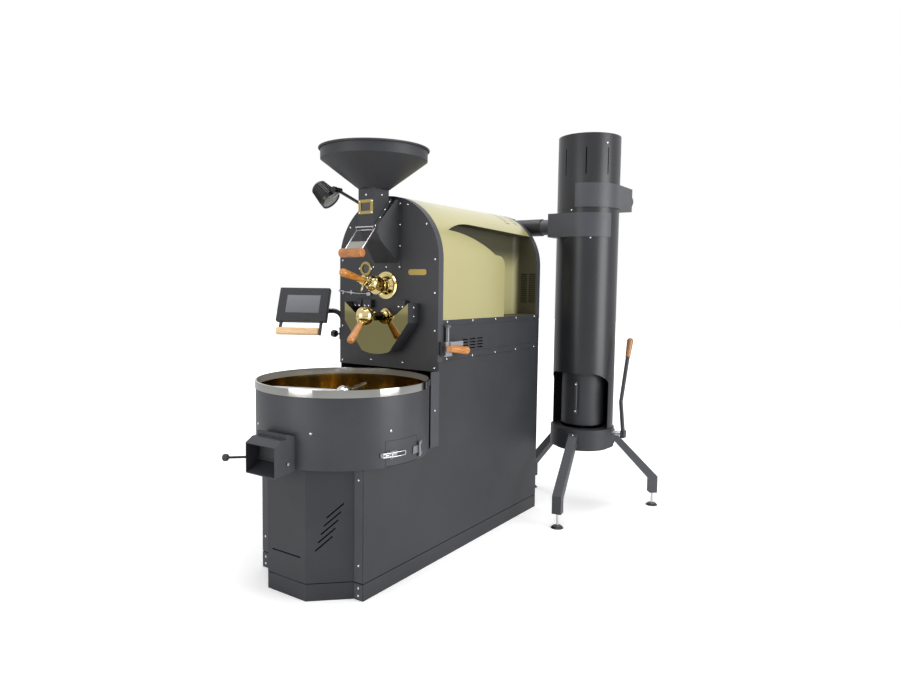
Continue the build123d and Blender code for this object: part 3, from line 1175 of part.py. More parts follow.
def screen_case():
    """Screen housing with its display, tilt ears and handle brackets."""
    case = Pos(0, 0, -SCREEN_D / 2) * Box(SCREEN_W, SCREEN_H, SCREEN_D)
    case = fillet(case.edges(), 4)
    case -= Pos(0, 1.4, 0) * Box(DISPLAY_W, DISPLAY_H, 4)
    for side in (-1, 1):
        ear = Pos(side * 20, 0, -TILT_BACK / 2 - 7) * Box(8, 26, TILT_BACK - SCREEN_D + 14)
        ear += Pos(side * 20, 0, -TILT_BACK) * Rot(0, 90, 0) * Cylinder(13, 8)
        case += ear
        drop = 32 if side < 0 else 64
        arm = Pos(side * 92, 3 - SCREEN_H / 2 - drop / 2, -12) * Box(10, drop, 14)
        case += arm
    case -= Pos(0, 0, -TILT_BACK) * Rot(0, 90, 0) * Cylinder(5 + RUN_FIT, 80)
    display = Pos(0, 1.4, -1.3) * Box(DISPLAY_W - 0.4, DISPLAY_H - 0.4, 1.4)
    return [SCREEN_PLANE * case, SCREEN_PLANE * display]


def screen_bar():
    """Pale wooden bar handle under the screen."""
    bar = Pos(-11, -SCREEN_H / 2 - 45, -12) * Box(196, 32, 24)
    return SCREEN_PLANE * fillet(bar.edges(), 7)


def screen_arm():
    """Bent tube: a stem that turns in the clamp, an elbow and the tilt pin of the screen."""
    tilt = screen_point(0, 0, -TILT_BACK)
    behind = screen_point(0, 0, -TILT_BACK - 38)
    path = FilletPolyline((POST_X, POST_Y, 885), (POST_X, POST_Y, 1030), behind, tilt, radius=[45, 16])
    arm = sweep(Plane(origin=path @ 0, z_dir=path % 0) * Circle(STEM_R), path)
    arm += rod((POST_X, POST_Y, CLAMP_Z1 + 0.3), (POST_X, POST_Y, CLAMP_Z1 + 6), STEM_R + 5)
    arm += rod(screen_point(-15.5, 0, -TILT_BACK), screen_point(15.5, 0, -TILT_BACK), 12)
    return arm + rod(screen_point(-26, 0, -TILT_BACK), screen_point(26, 0, -TILT_BACK), 5)


def screen_post():
    """Clamp tube on the cabinet's left side that carries the screen arm."""
    base = (POST_X, POST_Y)
    clamp = rod((*base, CLAMP_Z0), (*base, CLAMP_Z1), POST_R)
    clamp += box(POST_X, -HALF_W - 4, POST_Y - 9, POST_Y + 9, CLAMP_Z0 + 4, CLAMP_Z1 - 4)
    clamp += box(-HALF_W - 4, -HALF_W, POST_Y - 12, POST_Y + 55, CLAMP_Z0 - 12, CLAMP_Z1 + 12)
    clamp -= rod((*base, CLAMP_Z0 - 1), (*base, CLAMP_Z1 + 1), STEM_R + RUN_FIT)
    return clamp - rod((POST_X - 30, POST_Y, KNOB_Z), (POST_X, POST_Y, KNOB_Z), 4 + RUN_FIT)


def arm_knob():
    """Clamping knob with its stem."""
    stem = rod((POST_X - STEM_R - 0.3, POST_Y, KNOB_Z), (POST_X - 40, POST_Y, KNOB_Z), 4)
    knob = rod((POST_X - 38, POST_Y, KNOB_Z), (POST_X - 62, POST_Y, KNOB_Z), 15)
    knob = fillet(knob.edges().filter_by(GeomType.CIRCLE), 4)
    return knob + stem


# ---------------------------------------------------------------- lamp
def lamp_arm():
    """Lamp arm fixed to the hopper neck."""
    root = (-NECK_HALF, HOPPER_Y - 12, SIGHT_Z + 8)
    pivot = Vector(*LAMP_PIVOT)
    arm = rod(root, tuple(pivot + Vector(3, 0, -3)), 6.5)
    foot = box(-NECK_HALF - 5, -NECK_HALF, HOPPER_Y - 33, HOPPER_Y + 3, SIGHT_Z - 10, SIGHT_Z + 28)
    eye = rod((LAMP_PIVOT[0], -268.7, LAMP_PIVOT[2]), (LAMP_PIVOT[0], -255.3, LAMP_PIVOT[2]), 11)
    pin = rod((LAMP_PIVOT[0], -279, LAMP_PIVOT[2]), (LAMP_PIVOT[0], -245, LAMP_PIVOT[2]), 4)
    cut = box(-NECK_HALF, 0, NECK_Y0, NECK_Y1, CHUTE_Z0, HOPPER_CONE_Z0)
    return arm + foot + eye + pin - cut


def lamp_head():
    """Lamp head: tapered body with its lens, ears and clamp knob."""
    axis = (Vector(*LAMP_LENS) - Vector(*LAMP_BACK)).normalized()
    lens = Vector(*LAMP_LENS)
    back = Vector(*LAMP_BACK)
    body = taper(tuple(back), tuple(lens), 31, LAMP_R)
    body = fillet(body.edges().filter_by(GeomType.CIRCLE).sort_by(Axis.Z)[-1], 9)
    rim = rod(tuple(lens - axis * 8), tuple(lens + axis * 6), LAMP_R + 2)
    rim -= rod(tuple(lens + axis * 1), tuple(lens + axis * 8), LAMP_R - 4)
    head = body + rim
    px, pz = LAMP_PIVOT[0], LAMP_PIVOT[2]
    bore = rod((px, -300, pz), (px, -240, pz), 4 + RUN_FIT)
    for y0, y1 in ((-277, -269), (-255, -247)):
        ear = rod((px, y0, pz), (px, y1, pz), 11)
        ear += prism_y([(px - 4, pz + 10), (px - 2, pz - 11), (px - 44, pz - 30), (px - 62, pz + 2)], y0, y1)
        head += ear
    head -= bore
    knob = rod((px, -293, pz), (px, -279.5, pz), 13)
    cup = rod((px, -279.5, pz), (px, -277, pz), 11) - bore
    glass = rod(tuple(lens + axis * 1), tuple(lens + axis * 3), LAMP_R - 4.2)
    return [head + cup + knob, glass]


# ---------------------------------------------------------------- fasteners
def screw(point, normal):
    """Button-head screw seated on a face."""
    plane = Plane(origin=Vector(*point), z_dir=Vector(*normal))
    head = Cone(SCREW_R, SCREW_R * 0.6, SCREW_H, align=(Align.CENTER, Align.CENTER, Align.MIN))
    return plane * head


def face_screws():
    """Screws on the faceplate, the chute flange and the brass frames."""
    rows = ((62, 1400), (17, 1256), (17, CLIP_Z), (16, 965), (15.5, 811))
    seats = [(HALF_W - inset, z) for inset, z in rows]
    seats += [(-x, z) for x, z in seats if z != CLIP_Z]
    seats += [(-86, 823.5), (88, 823.5), (110, 1484), (-110, 1484)]
    heads = [screw((x, FACE_Y, z), (0, -1, 0)) for x, z in seats]
    rim = CHUTE_HALF + CHUTE_FLANGE / 2 + 1
    flange = [(side * rim, z) for side in (-1, 1) for z in (1490, 1402, 1314, 1226)] + [(0, 1226)]
    heads += [screw((x, FACE_Y - SHEET, z), (0, -1, 0)) for x, z in flange]
    for x in (-33, 33):
        for z in (SIGHT_Z - 23, SIGHT_Z + 23):
            heads.append(screw((x, NECK_Y0 - 3, z), (0, -1, 0)))
    heads.append(screw((0, NECK_Y0, HOPPER_CONE_Z0 - 27), (0, -1, 0)))
    for side in (-1, 1):
        heads.append(screw((PORT_X + side * 33, FACE_Y - 4, PORT_Z), (0, -1, 0)))
        heads.append(screw((side * NECK_HALF, HOPPER_Y, HOPPER_CONE_Z0 - 25), (side, 0, 0)))
        for k in range(4):
            y, z = gate_plane_point(-142 + 46 * k, 7.5)
            heads.append(screw((side * (NECK_HALF + 2.5), y, z), (side, 0, 0)))
    for x in (-157, -135, -102, -80, 85, 106):
        heads.append(screw((x, BLOCK_Y, BLOCK_Z + 8), (0, -1, 0)))
    for side in (-1, 1):
        for z in (1058, 1022):
            heads.append(screw((side * BIB_TIP[0], -200, z), (side, 0, 0)))
    return heads


def cabinet_screws():
    """Screws along the control strips, corner strips and cheeks."""
    heads = []
    for side in (-1, 1):
        for y in (-98, 100, 296, 492, 684):
            if y > 0 or side > 0:
                heads.append(screw((side * HALF_W, y, STRIP_Z1 - 8), (side, 0, 0)))
                heads.append(screw((side * HALF_W, y, STRIP_Z0 + 8), (side, 0, 0)))
        heads.append(screw((side * (HALF_W + SHEET), -183, 640), (side, 0, 0)))
        for z in (447, 130, 46, 18):
            heads.append(screw((side * 249, CORNER_Y - SHEET, z), (0, -1, 0)))
    return heads


def round_screws(cx, cy, r, seats):
    """Screws on an upright cylinder at (angle, height) seats, hollowed to its curve."""
    heads = []
    for angle, z in seats:
        x, y = polar(cx, cy, r - 0.3, angle)
        head = screw((x, y, z), (cos(radians(angle)), sin(radians(angle)), 0))
        heads.append(head - rod((cx, cy, z - 10), (cx, cy, z + 10), r))
    return heads


def panel_screws():
    heads = face_screws() + cabinet_screws()
    heads += round_screws(0, BIN_Y, BIN_R, [(-116.5, 622.5), (-67, 622.5), (-17.4, 622.5)])
    heads += round_screws(CYC_X, CYC_Y, CYC_R, [
        (-98, CYC_JOIN_Z - 9), (-34, CYC_TOP - 48), (-61.5, LOWER_DUCT_Z[0] - 5), (145, CYC_TOP - 48)])
    for angle in LEG_ANGLES:
        x, y = polar(CYC_X, CYC_Y, SKIRT_R + 6, angle)
        heads.append(screw((x, y, 406), (cos(radians(angle)), sin(radians(angle)), 0)))
    return heads


# ---------------------------------------------------------------- write every sub-part
PARTS = [
    ("base_plinth", base_plinth), ("front_panel", front_panel), ("trim_strips", trim_strips),
    ("base_deck", base_deck), ("rear_panel", rear_panel), ("outer_shell", outer_shell),
    ("faceplate", faceplate), ("drum_chamber", drum_chamber), ("drum_bearings", drum_bearings),
    ("drive_motor", drive_motor), ("drive_belt", drive_belt), ("hopper", hopper),
    ("hopper_neck", hopper_neck),
    ("brass_trim", brass_trim), ("sight_glasses", sight_glasses), ("chute_box", chute_box),
    ("trier_flange", trier_flange), ("probe_lead", probe_lead), ("discharge_box", discharge_box),
    ("discharge_bib", discharge_bib), ("damper_block", damper_block), ("bin_shell", bin_shell),
    ("bin_rim", bin_rim), ("bin_floor", bin_floor), ("bin_chute", bin_chute), ("bin_drive", bin_drive),
    ("exhaust_pipe", exhaust_pipe), ("cyclone_body", cyclone_body), ("cyclone_cap", cyclone_cap),
    ("cyclone_base", cyclone_base), ("cyclone_legs", cyclone_legs), ("panel_screws", panel_screws),
    ("screen_post", screen_post), ("lamp_arm", lamp_arm), ("drum", drum), ("drum_shaft", drum_shaft),
    ("motor_pulley", motor_pulley), ("stirrer", stirrer), ("slide_gate", slide_gate),
    ("gate_handle", gate_handle), ("trier", trier), ("trier_handle", trier_handle),
    ("trier_sleeve", trier_sleeve), ("discharge_lever", discharge_lever),
    ("discharge_handle", discharge_handle), ("damper_handle", damper_handle), ("bin_flap", bin_flap),
    ("bin_door", bin_door), ("door_latch", door_latch), ("chaff_drum", chaff_drum),
    ("lift_lever", lift_lever), ("lift_grip", lift_grip), ("screen_arm", screen_arm),
    ("screen_case", screen_case), ("screen_bar", screen_bar), ("lamp_head", lamp_head),
    ("arm_knob", arm_knob),
]
for name, make in PARTS:
    save(name, make())
save("side_panels", pair(side_panel()))
save("control_strips", pair(control_strip()))
save("recess_liners", pair(recess_liner()))
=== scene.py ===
"""Shop-floor drum coffee roaster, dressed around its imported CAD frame.

The machine is built in sub-assemblies. Each class below carries the sizes of its own pieces in
metres, adds the detail that the CAD solids leave out, and gives every surface its finish.
"""

from __future__ import annotations

import json
import logging
import math
from collections.abc import Callable, Sequence
from dataclasses import dataclass
from enum import Enum
from typing import Any

import bpy
from bpy.types import Material, Node, NodeSocket, NodeTree, Object
from mathutils import Matrix, Vector

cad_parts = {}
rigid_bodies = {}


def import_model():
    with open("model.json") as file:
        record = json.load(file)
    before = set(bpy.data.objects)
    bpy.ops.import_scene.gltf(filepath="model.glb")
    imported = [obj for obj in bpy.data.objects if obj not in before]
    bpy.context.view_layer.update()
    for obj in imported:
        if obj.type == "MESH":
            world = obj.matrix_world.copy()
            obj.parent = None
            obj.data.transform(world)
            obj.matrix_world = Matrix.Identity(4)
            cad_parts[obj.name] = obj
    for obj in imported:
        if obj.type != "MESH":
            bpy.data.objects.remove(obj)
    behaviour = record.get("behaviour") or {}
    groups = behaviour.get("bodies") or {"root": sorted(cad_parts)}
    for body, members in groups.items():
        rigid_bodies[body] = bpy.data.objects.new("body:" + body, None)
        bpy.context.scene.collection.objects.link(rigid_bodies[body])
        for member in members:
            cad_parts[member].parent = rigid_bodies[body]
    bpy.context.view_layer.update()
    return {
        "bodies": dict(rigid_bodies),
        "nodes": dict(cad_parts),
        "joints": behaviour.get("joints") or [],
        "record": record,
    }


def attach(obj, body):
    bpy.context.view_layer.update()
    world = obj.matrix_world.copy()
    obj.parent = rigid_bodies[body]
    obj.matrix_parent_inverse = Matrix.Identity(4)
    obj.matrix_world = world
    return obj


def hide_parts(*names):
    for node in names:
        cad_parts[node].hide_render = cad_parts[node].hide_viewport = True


LOG = logging.getLogger("roaster")
MM = 0.001
SMOOTH_ANGLE = math.radians(40)

Point = tuple[float, float, float]
Pair = tuple[float, float]
Profile = Sequence[Pair]
Settings = dict[str | int, Any]
Links = dict[str | int, NodeSocket | Node]

BIN_AXIS: Pair = (0.0, -0.428)
CYCLONE_AXIS: Pair = (0.455, 0.895)
LAMP_BACK: Point = (-0.306, -0.270, 1.575)
LAMP_LENS: Point = (-0.243, -0.256, 1.514)


# ---- colour and nodes
def linear(hex_code: str) -> tuple[float, float, float, float]:
    """Turn an sRGB hex colour into linear values.

    Args:
        hex_code: Colour such as "#3a3b3d".

    Returns:
        Red, green and blue, linear, with full opacity.
    """
    values = [int(hex_code[i : i + 2], 16) / 255 for i in (1, 3, 5)]
    red, green, blue = (v / 12.92 if v <= 0.04045 else ((v + 0.055) / 1.055) ** 2.4 for v in values)
    return red, green, blue, 1.0


class Nodes:
    """A node tree that is being filled."""

    def __init__(self, tree: NodeTree) -> None:
        """Start with an empty tree."""
        self.tree = tree
        tree.nodes.clear()

    def feed(self, node: Node, settings: Settings, links: Links) -> None:
        """Set a node's values and join its incoming links.

        Args:
            node: The node.
            settings: Values by socket name or number, or by property name where no socket has it.
            links: What feeds the inputs, by name or number: a socket, or a node's first output.
        """
        for name, value in settings.items():
            if isinstance(name, int) or name in node.inputs:
                node.inputs[name].default_value = value
            else:
                setattr(node, name, value)
        for name, source in links.items():
            output = source.outputs[0] if isinstance(source, Node) else source
            self.tree.links.new(output, node.inputs[name])

    def add(self, kind: str, settings: Settings | None = None, links: Links | None = None) -> Node:
        """Add one node with its settings and incoming links.

        Args:
            kind: Blender's node type, without its prefix.
            settings: Values, as feed takes them.
            links: Sources, as feed takes them.

        Returns:
            The new node.
        """
        node = self.tree.nodes.new(f"ShaderNode{kind}")
        self.feed(node, settings or {}, links or {})
        return node


class MaterialNodes(Nodes):
    """The node tree of a new material, with its shader and output joined."""

    def __init__(self, name: str) -> None:
        """Make the material.

        Args:
            name: Name of the finish.
        """
        self.material = bpy.data.materials.new(name)
        self.material.use_nodes = True
        super().__init__(self.material.node_tree)
        self.shader = self.add("BsdfPrincipled")
        self.output = self.add("OutputMaterial", links={"Surface": self.shader})

    def place(self) -> NodeSocket:
        """The piece's own coordinates, in metres."""
        return self.add("TexCoord").outputs["Object"]

    def finish(self, settings: Settings, links: Links) -> Material:
        """Feed the shader and give the material."""
        self.feed(self.shader, settings, links)
        return self.material


def set_tones(ramp: Node, low: str, high: str, start: float = 0.0, end: float = 1.0) -> None:
    """Give a colour ramp its two tones.

    Args:
        ramp: The ramp's node.
        low: Colour up to the first stop.
        high: Colour from the second stop on.
        start: Place of the first stop.
        end: Place of the second stop.
    """
    for stop, colour, place in zip(ramp.color_ramp.elements, (low, high), (start, end)):
        stop.position = place
        stop.color = linear(colour)


# ---- finishes
@dataclass(frozen=True)
class PowderCoat:
    """Baked polyester powder on steel: a fine sandy skin that scatters a soft highlight."""

    name: str
    colour: str
    shade: str
    roughness: float = 0.5
    grit: float = 1.6 * MM  # drawn coarser than the real 0.3 mm grain, so that it shows
    bump: float = 0.12

    def build(self) -> Material:
        """Make the material: two close tones in cloudy patches, with a gritty bump."""
        nodes = MaterialNodes(self.name)
        place = {"Vector": nodes.place()}
        cloud = nodes.add("TexNoise", {"Scale": 5.0, "Detail": 3.0}, place)
        grit = nodes.add("TexNoise", {"Scale": 1 / self.grit, "Detail": 2.0}, place)
        blend = nodes.add("Math", {"operation": "MULTIPLY"}, {0: cloud, 1: grit})
        ramp = nodes.add("ValToRGB", links={"Fac": blend})
        set_tones(ramp, self.shade, self.colour, 0.12, 0.42)
        bump = nodes.add("Bump", {"Strength": self.bump, "Distance": 0.3 * MM}, {"Height": grit})
        settings = {"Roughness": self.roughness, "Specular IOR Level": 0.4}
        return nodes.finish(settings, {"Base Color": ramp, "Normal": bump})


@dataclass(frozen=True)
class Metal:
    """Bare or lacquered metal, with brushing or fine wear in its gloss."""

    name: str
    colour: str
    roughness: float
    streak: float = 40.0  # noise scale: a low one draws large marks
    wear: float = 0.06
    metallic: float = 1.0
    bump: float = 0.02
    lacquer: float = 0.0
    brushing: float = 1.0  # how much finer the marks are in height than along the level

    def build(self) -> Material:
        """Make the material: even colour, gloss broken by streaks, under any clear lacquer."""
        nodes = MaterialNodes(self.name)
        place = nodes.place()
        stretch = (self.streak, self.streak, self.streak * self.brushing)
        mapping = nodes.add("Mapping", {"Scale": stretch}, {"Vector": place})
        streaks = nodes.add("TexNoise", {"Scale": 1.0, "Detail": 4.0}, {"Vector": mapping})
        span = {"To Min": max(0.0, self.roughness - self.wear), "To Max": self.roughness + self.wear}
        gloss = nodes.add("MapRange", span, {"Value": streaks})
        bump = nodes.add("Bump", {"Strength": self.bump, "Distance": 0.2 * MM}, {"Height": streaks})
        settings = {"Base Color": linear(self.colour), "Metallic": self.metallic}
        settings |= {"Coat Weight": self.lacquer, "Coat Roughness": 0.22}
        return nodes.finish(settings, {"Roughness": gloss, "Normal": bump})


@dataclass(frozen=True)
class OiledWood:
    """Turned and oiled hardwood: long grain bands along the handle and small dark pores."""

    name: str
    pale: str
    dark: str
    grain_axis: Point
    band: float = 5 * MM
    gloss: float = 0.34

    def build(self) -> Material:
        """Make the material with its grain along the given axis."""
        nodes = MaterialNodes(self.name)
        place = nodes.place()
        turn = Vector(self.grain_axis).rotation_difference(Vector((0, 0, 1))).to_euler()
        along = nodes.add("Mapping", {"Rotation": tuple(turn)}, {"Vector": place})
        grain = {"Scale": (1 / self.band, 1 / self.band, 0.12 / self.band)}
        stretched = nodes.add("Mapping", grain, {"Vector": along})
        wander = {"Scale": 1.0, "Detail": 4.0, "Distortion": 0.6}
        bands = nodes.add("TexNoise", wander, {"Vector": stretched})
        fine = nodes.add("Mapping", {"Scale": (1100.0, 1100.0, 60.0)}, {"Vector": along})
        pores = nodes.add("TexNoise", {"Scale": 1.0}, {"Vector": fine})
        ramp = nodes.add("ValToRGB", links={"Fac": bands})
        set_tones(ramp, self.dark, self.pale, 0.3, 0.62)
        bump = nodes.add("Bump", {"Strength": 0.1, "Distance": 0.2 * MM}, {"Height": pores})
        settings = {"Roughness": self.gloss, "Coat Weight": 0.35, "Coat Roughness": 0.2}
        return nodes.finish(settings, {"Base Color": ramp, "Normal": bump})


@dataclass(frozen=True)
class Moulded:
    """Moulded plastic or rubber: a dull even skin with a faint moulding texture."""

    name: str
    colour: str
    roughness: float = 0.45

    def build(self) -> Material:
        """Make the material."""
        nodes = MaterialNodes(self.name)
        skin = nodes.add("TexNoise", {"Scale": 900.0}, {"Vector": nodes.place()})
        bump = nodes.add("Bump", {"Strength": 0.08, "Distance": 0.1 * MM}, {"Height": skin})
        settings = {"Base Color": linear(self.colour), "Roughness": self.roughness}
        return nodes.finish(settings, {"Normal": bump})


@dataclass(frozen=True)
class Glass:
    """Pane under a clear polished coat, its ground tone lightening towards the top as a painted reflection.
    """

    name: str
    low: str
    high: str
    low_z: float
    high_z: float
    glow: float = 0.0

    def build(self) -> Material:
        """Make the material: a painted reflection that lightens slowly up the pane, under a glossy coat;
        the glow gives off the same tones.
        """
        nodes = MaterialNodes(self.name)
        split = nodes.add("SeparateXYZ", links={0: nodes.place()})
        span = {"From Min": self.low_z, "From Max": self.high_z}
        height = nodes.add("MapRange", span, {"Value": split.outputs["Z"]})
        ramp = nodes.add("ValToRGB", links={"Fac": height})
        set_tones(ramp, self.low, self.high)
        settings = {"Emission Strength": self.glow, "Roughness": 0.12}
        settings |= {"Coat Weight": 1.0, "Coat Roughness": 0.03}
        return nodes.finish(settings, {"Base Color": ramp, "Emission Color": ramp})


@dataclass(frozen=True)
class RecessSheetPaintedShade:
    """Satin gold sheet with painted shade: bright on the back wall, painted olive shade on the end wall and
    under the crown.
    """

    name: str
    # near: tone of the lit back wall; the second tone is the painted shade
    near: str
    painted_shade_tone: str
    corner: Pair
    height: Pair
    roughness: float = 0.6

    def build(self) -> Material:
        """Make the material: painted shade that deepens smoothly round the corner and up to the ceiling."""
        nodes = MaterialNodes(self.name)
        split = nodes.add("SeparateXYZ", links={0: nodes.place()})
        aside = nodes.add("Math", {"operation": "ABSOLUTE"}, {0: split.outputs["X"]})
        painted_shades = {}
        ways = ((aside, self.corner), (split.outputs["Z"], self.height))
        for number, (place, (start, end)) in enumerate(ways):
            span = {"From Min": start, "From Max": end, "interpolation_type": "SMOOTHSTEP"}
            painted_shades[number] = nodes.add("MapRange", span, {"Value": place})
        painted_shade_fac = nodes.add("Math", {"operation": "MAXIMUM"}, painted_shades)
        ramp = nodes.add("ValToRGB", links={"Fac": painted_shade_fac})
        set_tones(ramp, self.near, self.painted_shade_tone)
        return nodes.finish({"Metallic": 0.05, "Roughness": self.roughness}, {"Base Color": ramp})


@dataclass(frozen=True)
class BinLining:
    """Polished gold lining of the cooling bin under its bare steel upper band."""

    name: str
    gold: str
    steel: str
    band_z: float
    blend: float = 0.3 * MM
    roughness: float = 0.12

    def build(self) -> Material:
        """Make the material: gold below the band's lower edge and steel above it."""
        nodes = MaterialNodes(self.name)
        place = nodes.place()
        split = nodes.add("SeparateXYZ", links={0: place})
        edge = {"From Min": self.band_z - self.blend, "From Max": self.band_z + self.blend}
        band = nodes.add("MapRange", edge, {"Value": split.outputs["Z"]})
        ramp = nodes.add("ValToRGB", links={"Fac": band})
        set_tones(ramp, self.gold, self.steel)
        satin = nodes.add("MapRange", {"To Min": 1.0, "To Max": 0.35}, {"Value": band})
        waves = nodes.add("TexNoise", {"Scale": 14.0, "Detail": 2.0}, {"Vector": place})
        bump = nodes.add("Bump", {"Strength": 0.05, "Distance": 2 * MM}, {"Height": waves})
        links = {"Base Color": ramp, "Metallic": satin, "Normal": bump}
        return nodes.finish({"Roughness": self.roughness}, links)


@dataclass(frozen=True)
class PerforatedSheet:
    """Punched stainless sheet: rows of round holes in a bright ground."""

    name: str
    colour: str
    hole: str
    pitch: float = 9 * MM  # drawn coarser than the real 4 mm pitch, so that it shows

    def build(self) -> Material:
        """Make the material: a lattice of dark dots."""
        nodes = MaterialNodes(self.name)
        split = nodes.add("SeparateXYZ", links={0: nodes.place()})
        waves = {}
        for number, axis in enumerate(("X", "Y")):
            turns = {"operation": "MULTIPLY", 1: math.tau / self.pitch}
            phase = nodes.add("Math", turns, {0: split.outputs[axis]})
            waves[number] = nodes.add("Math", {"operation": "SINE"}, {0: phase})
        lattice = nodes.add("Math", {"operation": "MULTIPLY"}, waves)
        ramp = nodes.add("ValToRGB", links={"Fac": lattice})
        set_tones(ramp, self.colour, self.hole, 0.42, 0.5)
        return nodes.finish({"Metallic": 0.9, "Roughness": 0.2}, {"Base Color": ramp})


@dataclass(frozen=True)
class Braid:
    """Braided stainless sleeve over a probe lead."""

    name: str
    colour: str
    gap: str
    strand: float = 2 * MM

    def build(self) -> Material:
        """Make the material: crossing diagonal strands as colour and bump."""
        nodes = MaterialNodes(self.name)
        lean = {"Rotation": (0.0, math.radians(45), 0.0)}
        turn = nodes.add("Mapping", lean, {"Vector": nodes.place()})
        check = {"Scale": 0.5 / self.strand, "Color1": linear(self.colour), "Color2": linear(self.gap)}
        weave = nodes.add("TexChecker", check, {"Vector": turn})
        relief = {"Strength": 0.4, "Distance": 0.3 * MM}
        bump = nodes.add("Bump", relief, {"Height": weave.outputs["Fac"]})
        return nodes.finish({"Metallic": 1.0, "Roughness": 0.3}, {"Base Color": weave, "Normal": bump})


class Finish(Enum):
    """Every finish on the machine."""

    CABINET = PowderCoat("powder_coat_charcoal", "#303135", "#25262a")
    TRIM = PowderCoat("powder_coat_dark_trim", "#202124", "#18191b", roughness=0.36)
    # lighter than the cabinet's charcoal: partly the strips' own tone, partly painted highlight on their
    # edges
    STRIP = PowderCoat("powder_coat_strips_painted_light", "#44454b", "#37383d", roughness=0.42)
    # lighter than the cabinet's charcoal: painted sheen on the bin's curved sides
    BIN = PowderCoat("powder_coat_bin_painted_sheen", "#393a3f", "#2e2f33", roughness=0.4)
    # darker than the cabinet's charcoal: painted shade on the glossy tube
    TUBE = PowderCoat("powder_coat_tube_painted_shade", "#242529", "#1b1c1f", roughness=0.33)
    LACQUER = PowderCoat("black_lamp_lacquer", "#1d1d20", "#151517", roughness=0.22)
    INNER = PowderCoat("heatproof_black_paint", "#242424", "#191919", roughness=0.7)
    COVER = Metal("champagne_satin_cover", "#b1aa74", 0.32, 30.0, 0.04, 0.4, 0.05, 0.8)
    # LINER paints shade on the recess's end walls and under the crown
    LINER = RecessSheetPaintedShade("gold_recess_sheet_painted_shade", "#9b966b", "#3f3c29", (0.1405, 0.172), (1.22, 1.34))
    BIB = Metal("mirror_gold_sheet", "#968f63", 0.05, 25.0, 0.02)
    # pale cut edge of the bib: partly its own polished metal, partly a painted highlight
    BIB_EDGE_HIGHLIGHT = Metal("sheet_edge_painted_highlight", "#e6dfb4", 0.2, 60.0, 0.05)
    LINING = BinLining("gold_bin_lining", "#c9ad66", "#a9a9a2", 0.7515)
    BRASS = Metal("polished_brass", "#cfbd86", 0.12, 60.0, 0.05)
    FRAME_BRASS = Metal("satin_brass_frames", "#97854b", 0.36, 90.0, 0.06, 0.8)
    STAINLESS = Metal("polished_stainless", "#b4b4b0", 0.07, 20.0, 0.03, 1.0, 0.01, brushing=15)
    BRUSHED = Metal("brushed_stainless", "#b9b9bd", 0.3, 20.0, 0.1, brushing=25)
    SATIN_PLATE = Metal("satin_gate_plate", "#a6a69f", 0.45, 60.0, 0.05, 0.6)
    FITTING = Metal("brushed_fitting_steel", "#83838a", 0.34, 40.0, 0.1, 0.9, brushing=10)
    CHROME = Metal("bright_zinc", "#d2d2d6", 0.14, 90.0, 0.04)
    CASTING = Metal("grey_cast_iron", "#6c6d70", 0.42, 200.0, 0.1, 0.7, 0.2)
    BRAID = Braid("braided_stainless_sleeve", "#c4c4c8", "#77777c")
    SIEVE = PerforatedSheet("punched_bin_floor", "#a48a45", "#2c2410")
    BLACK = Moulded("moulded_black_nylon", "#161618")
    RUBBER = Moulded("belt_rubber", "#121212", 0.7)
    # the glass tones lighten upwards: painted reflection
    PANE = Glass("smoked_sight_glass", "#15130f", "#24221c", 1.2, 1.5)
    DISPLAY = Glass("display_glass", "#56575d", "#6d6e76", 1.02, 1.10, 0.05)
    LENS = Glass("lamp_lens", "#4b4d50", "#a9acaf", 1.47, 1.56, 0.05)


class Paints:
    """Materials made once and shared by the pieces."""

    def __init__(self) -> None:
        """Start with no material made."""
        self.made: dict[str, Material] = {}

    def get(self, finish: Finish | OiledWood) -> Material:
        """Give the material of a finish, and make it at first use.

        Args:
            finish: The finish.

        Returns:
            Its material.
        """
        recipe = finish.value if isinstance(finish, Finish) else finish
        if recipe.name not in self.made:
            self.made[recipe.name] = recipe.build()
        return self.made[recipe.name]


# ---- modelling helpers
def select_only(*pieces: Object) -> None:
    """Select some pieces and nothing else, the first of them active.

    Args:
        pieces: The pieces.
    """
    bpy.ops.object.select_all(action="DESELECT")
    for piece in pieces:
        piece.select_set(True)
    bpy.context.view_layer.objects.active = pieces[0]


def settle(piece: Object) -> None:
    """Apply a piece's place to its mesh, so that its object sits at the origin."""
    select_only(piece)
    bpy.ops.object.transform_apply(location=True, rotation=True, scale=True)


def put(piece: Object, place: Matrix) -> Object:
    """Settle a modelled piece where it goes, with its round faces smooth.

    Args:
        piece: The piece.
        place: Where it goes.

    Returns:
        The same piece.
    """
    settle(piece)
    piece.matrix_world = place
    settle(piece)
    bpy.ops.object.shade_smooth_by_angle(angle=SMOOTH_ANGLE)
    return piece


def aim(start: Point | Vector, end: Point | Vector) -> Matrix:
    """Find the place that puts a piece's +Z along a line, with its origin at the line's start.

    Args:
        start: Start of the line.
        end: Another point of the line.

    Returns:
        The piece's matrix.
    """
    direction = Vector(end) - Vector(start)
    turn = direction.to_track_quat("Z", "Y").to_matrix().to_4x4()
    return Matrix.Translation(Vector(start)) @ turn


def round_axis(frame: Matrix, count: int) -> list[Matrix]:
    """Even steps round a frame's own Z axis."""
    return [frame @ Matrix.Rotation(math.tau / count * n, 4, "Z") for n in range(count)]


def reach_from(axis: Pair, place: Vector) -> float:
    """Level distance of a point from an upright axis."""
    return math.hypot(place.x - axis[0], place.y - axis[1])


def rounded(vector: Vector, digits: int) -> tuple[float, ...]:
    """Coordinates of a vector as a key."""
    return tuple(round(value, digits) for value in vector)


def in_metres(profile: Profile) -> Profile:
    """Turn a profile in millimetres into metres."""
    return [(radius * MM, height * MM) for radius, height in profile]


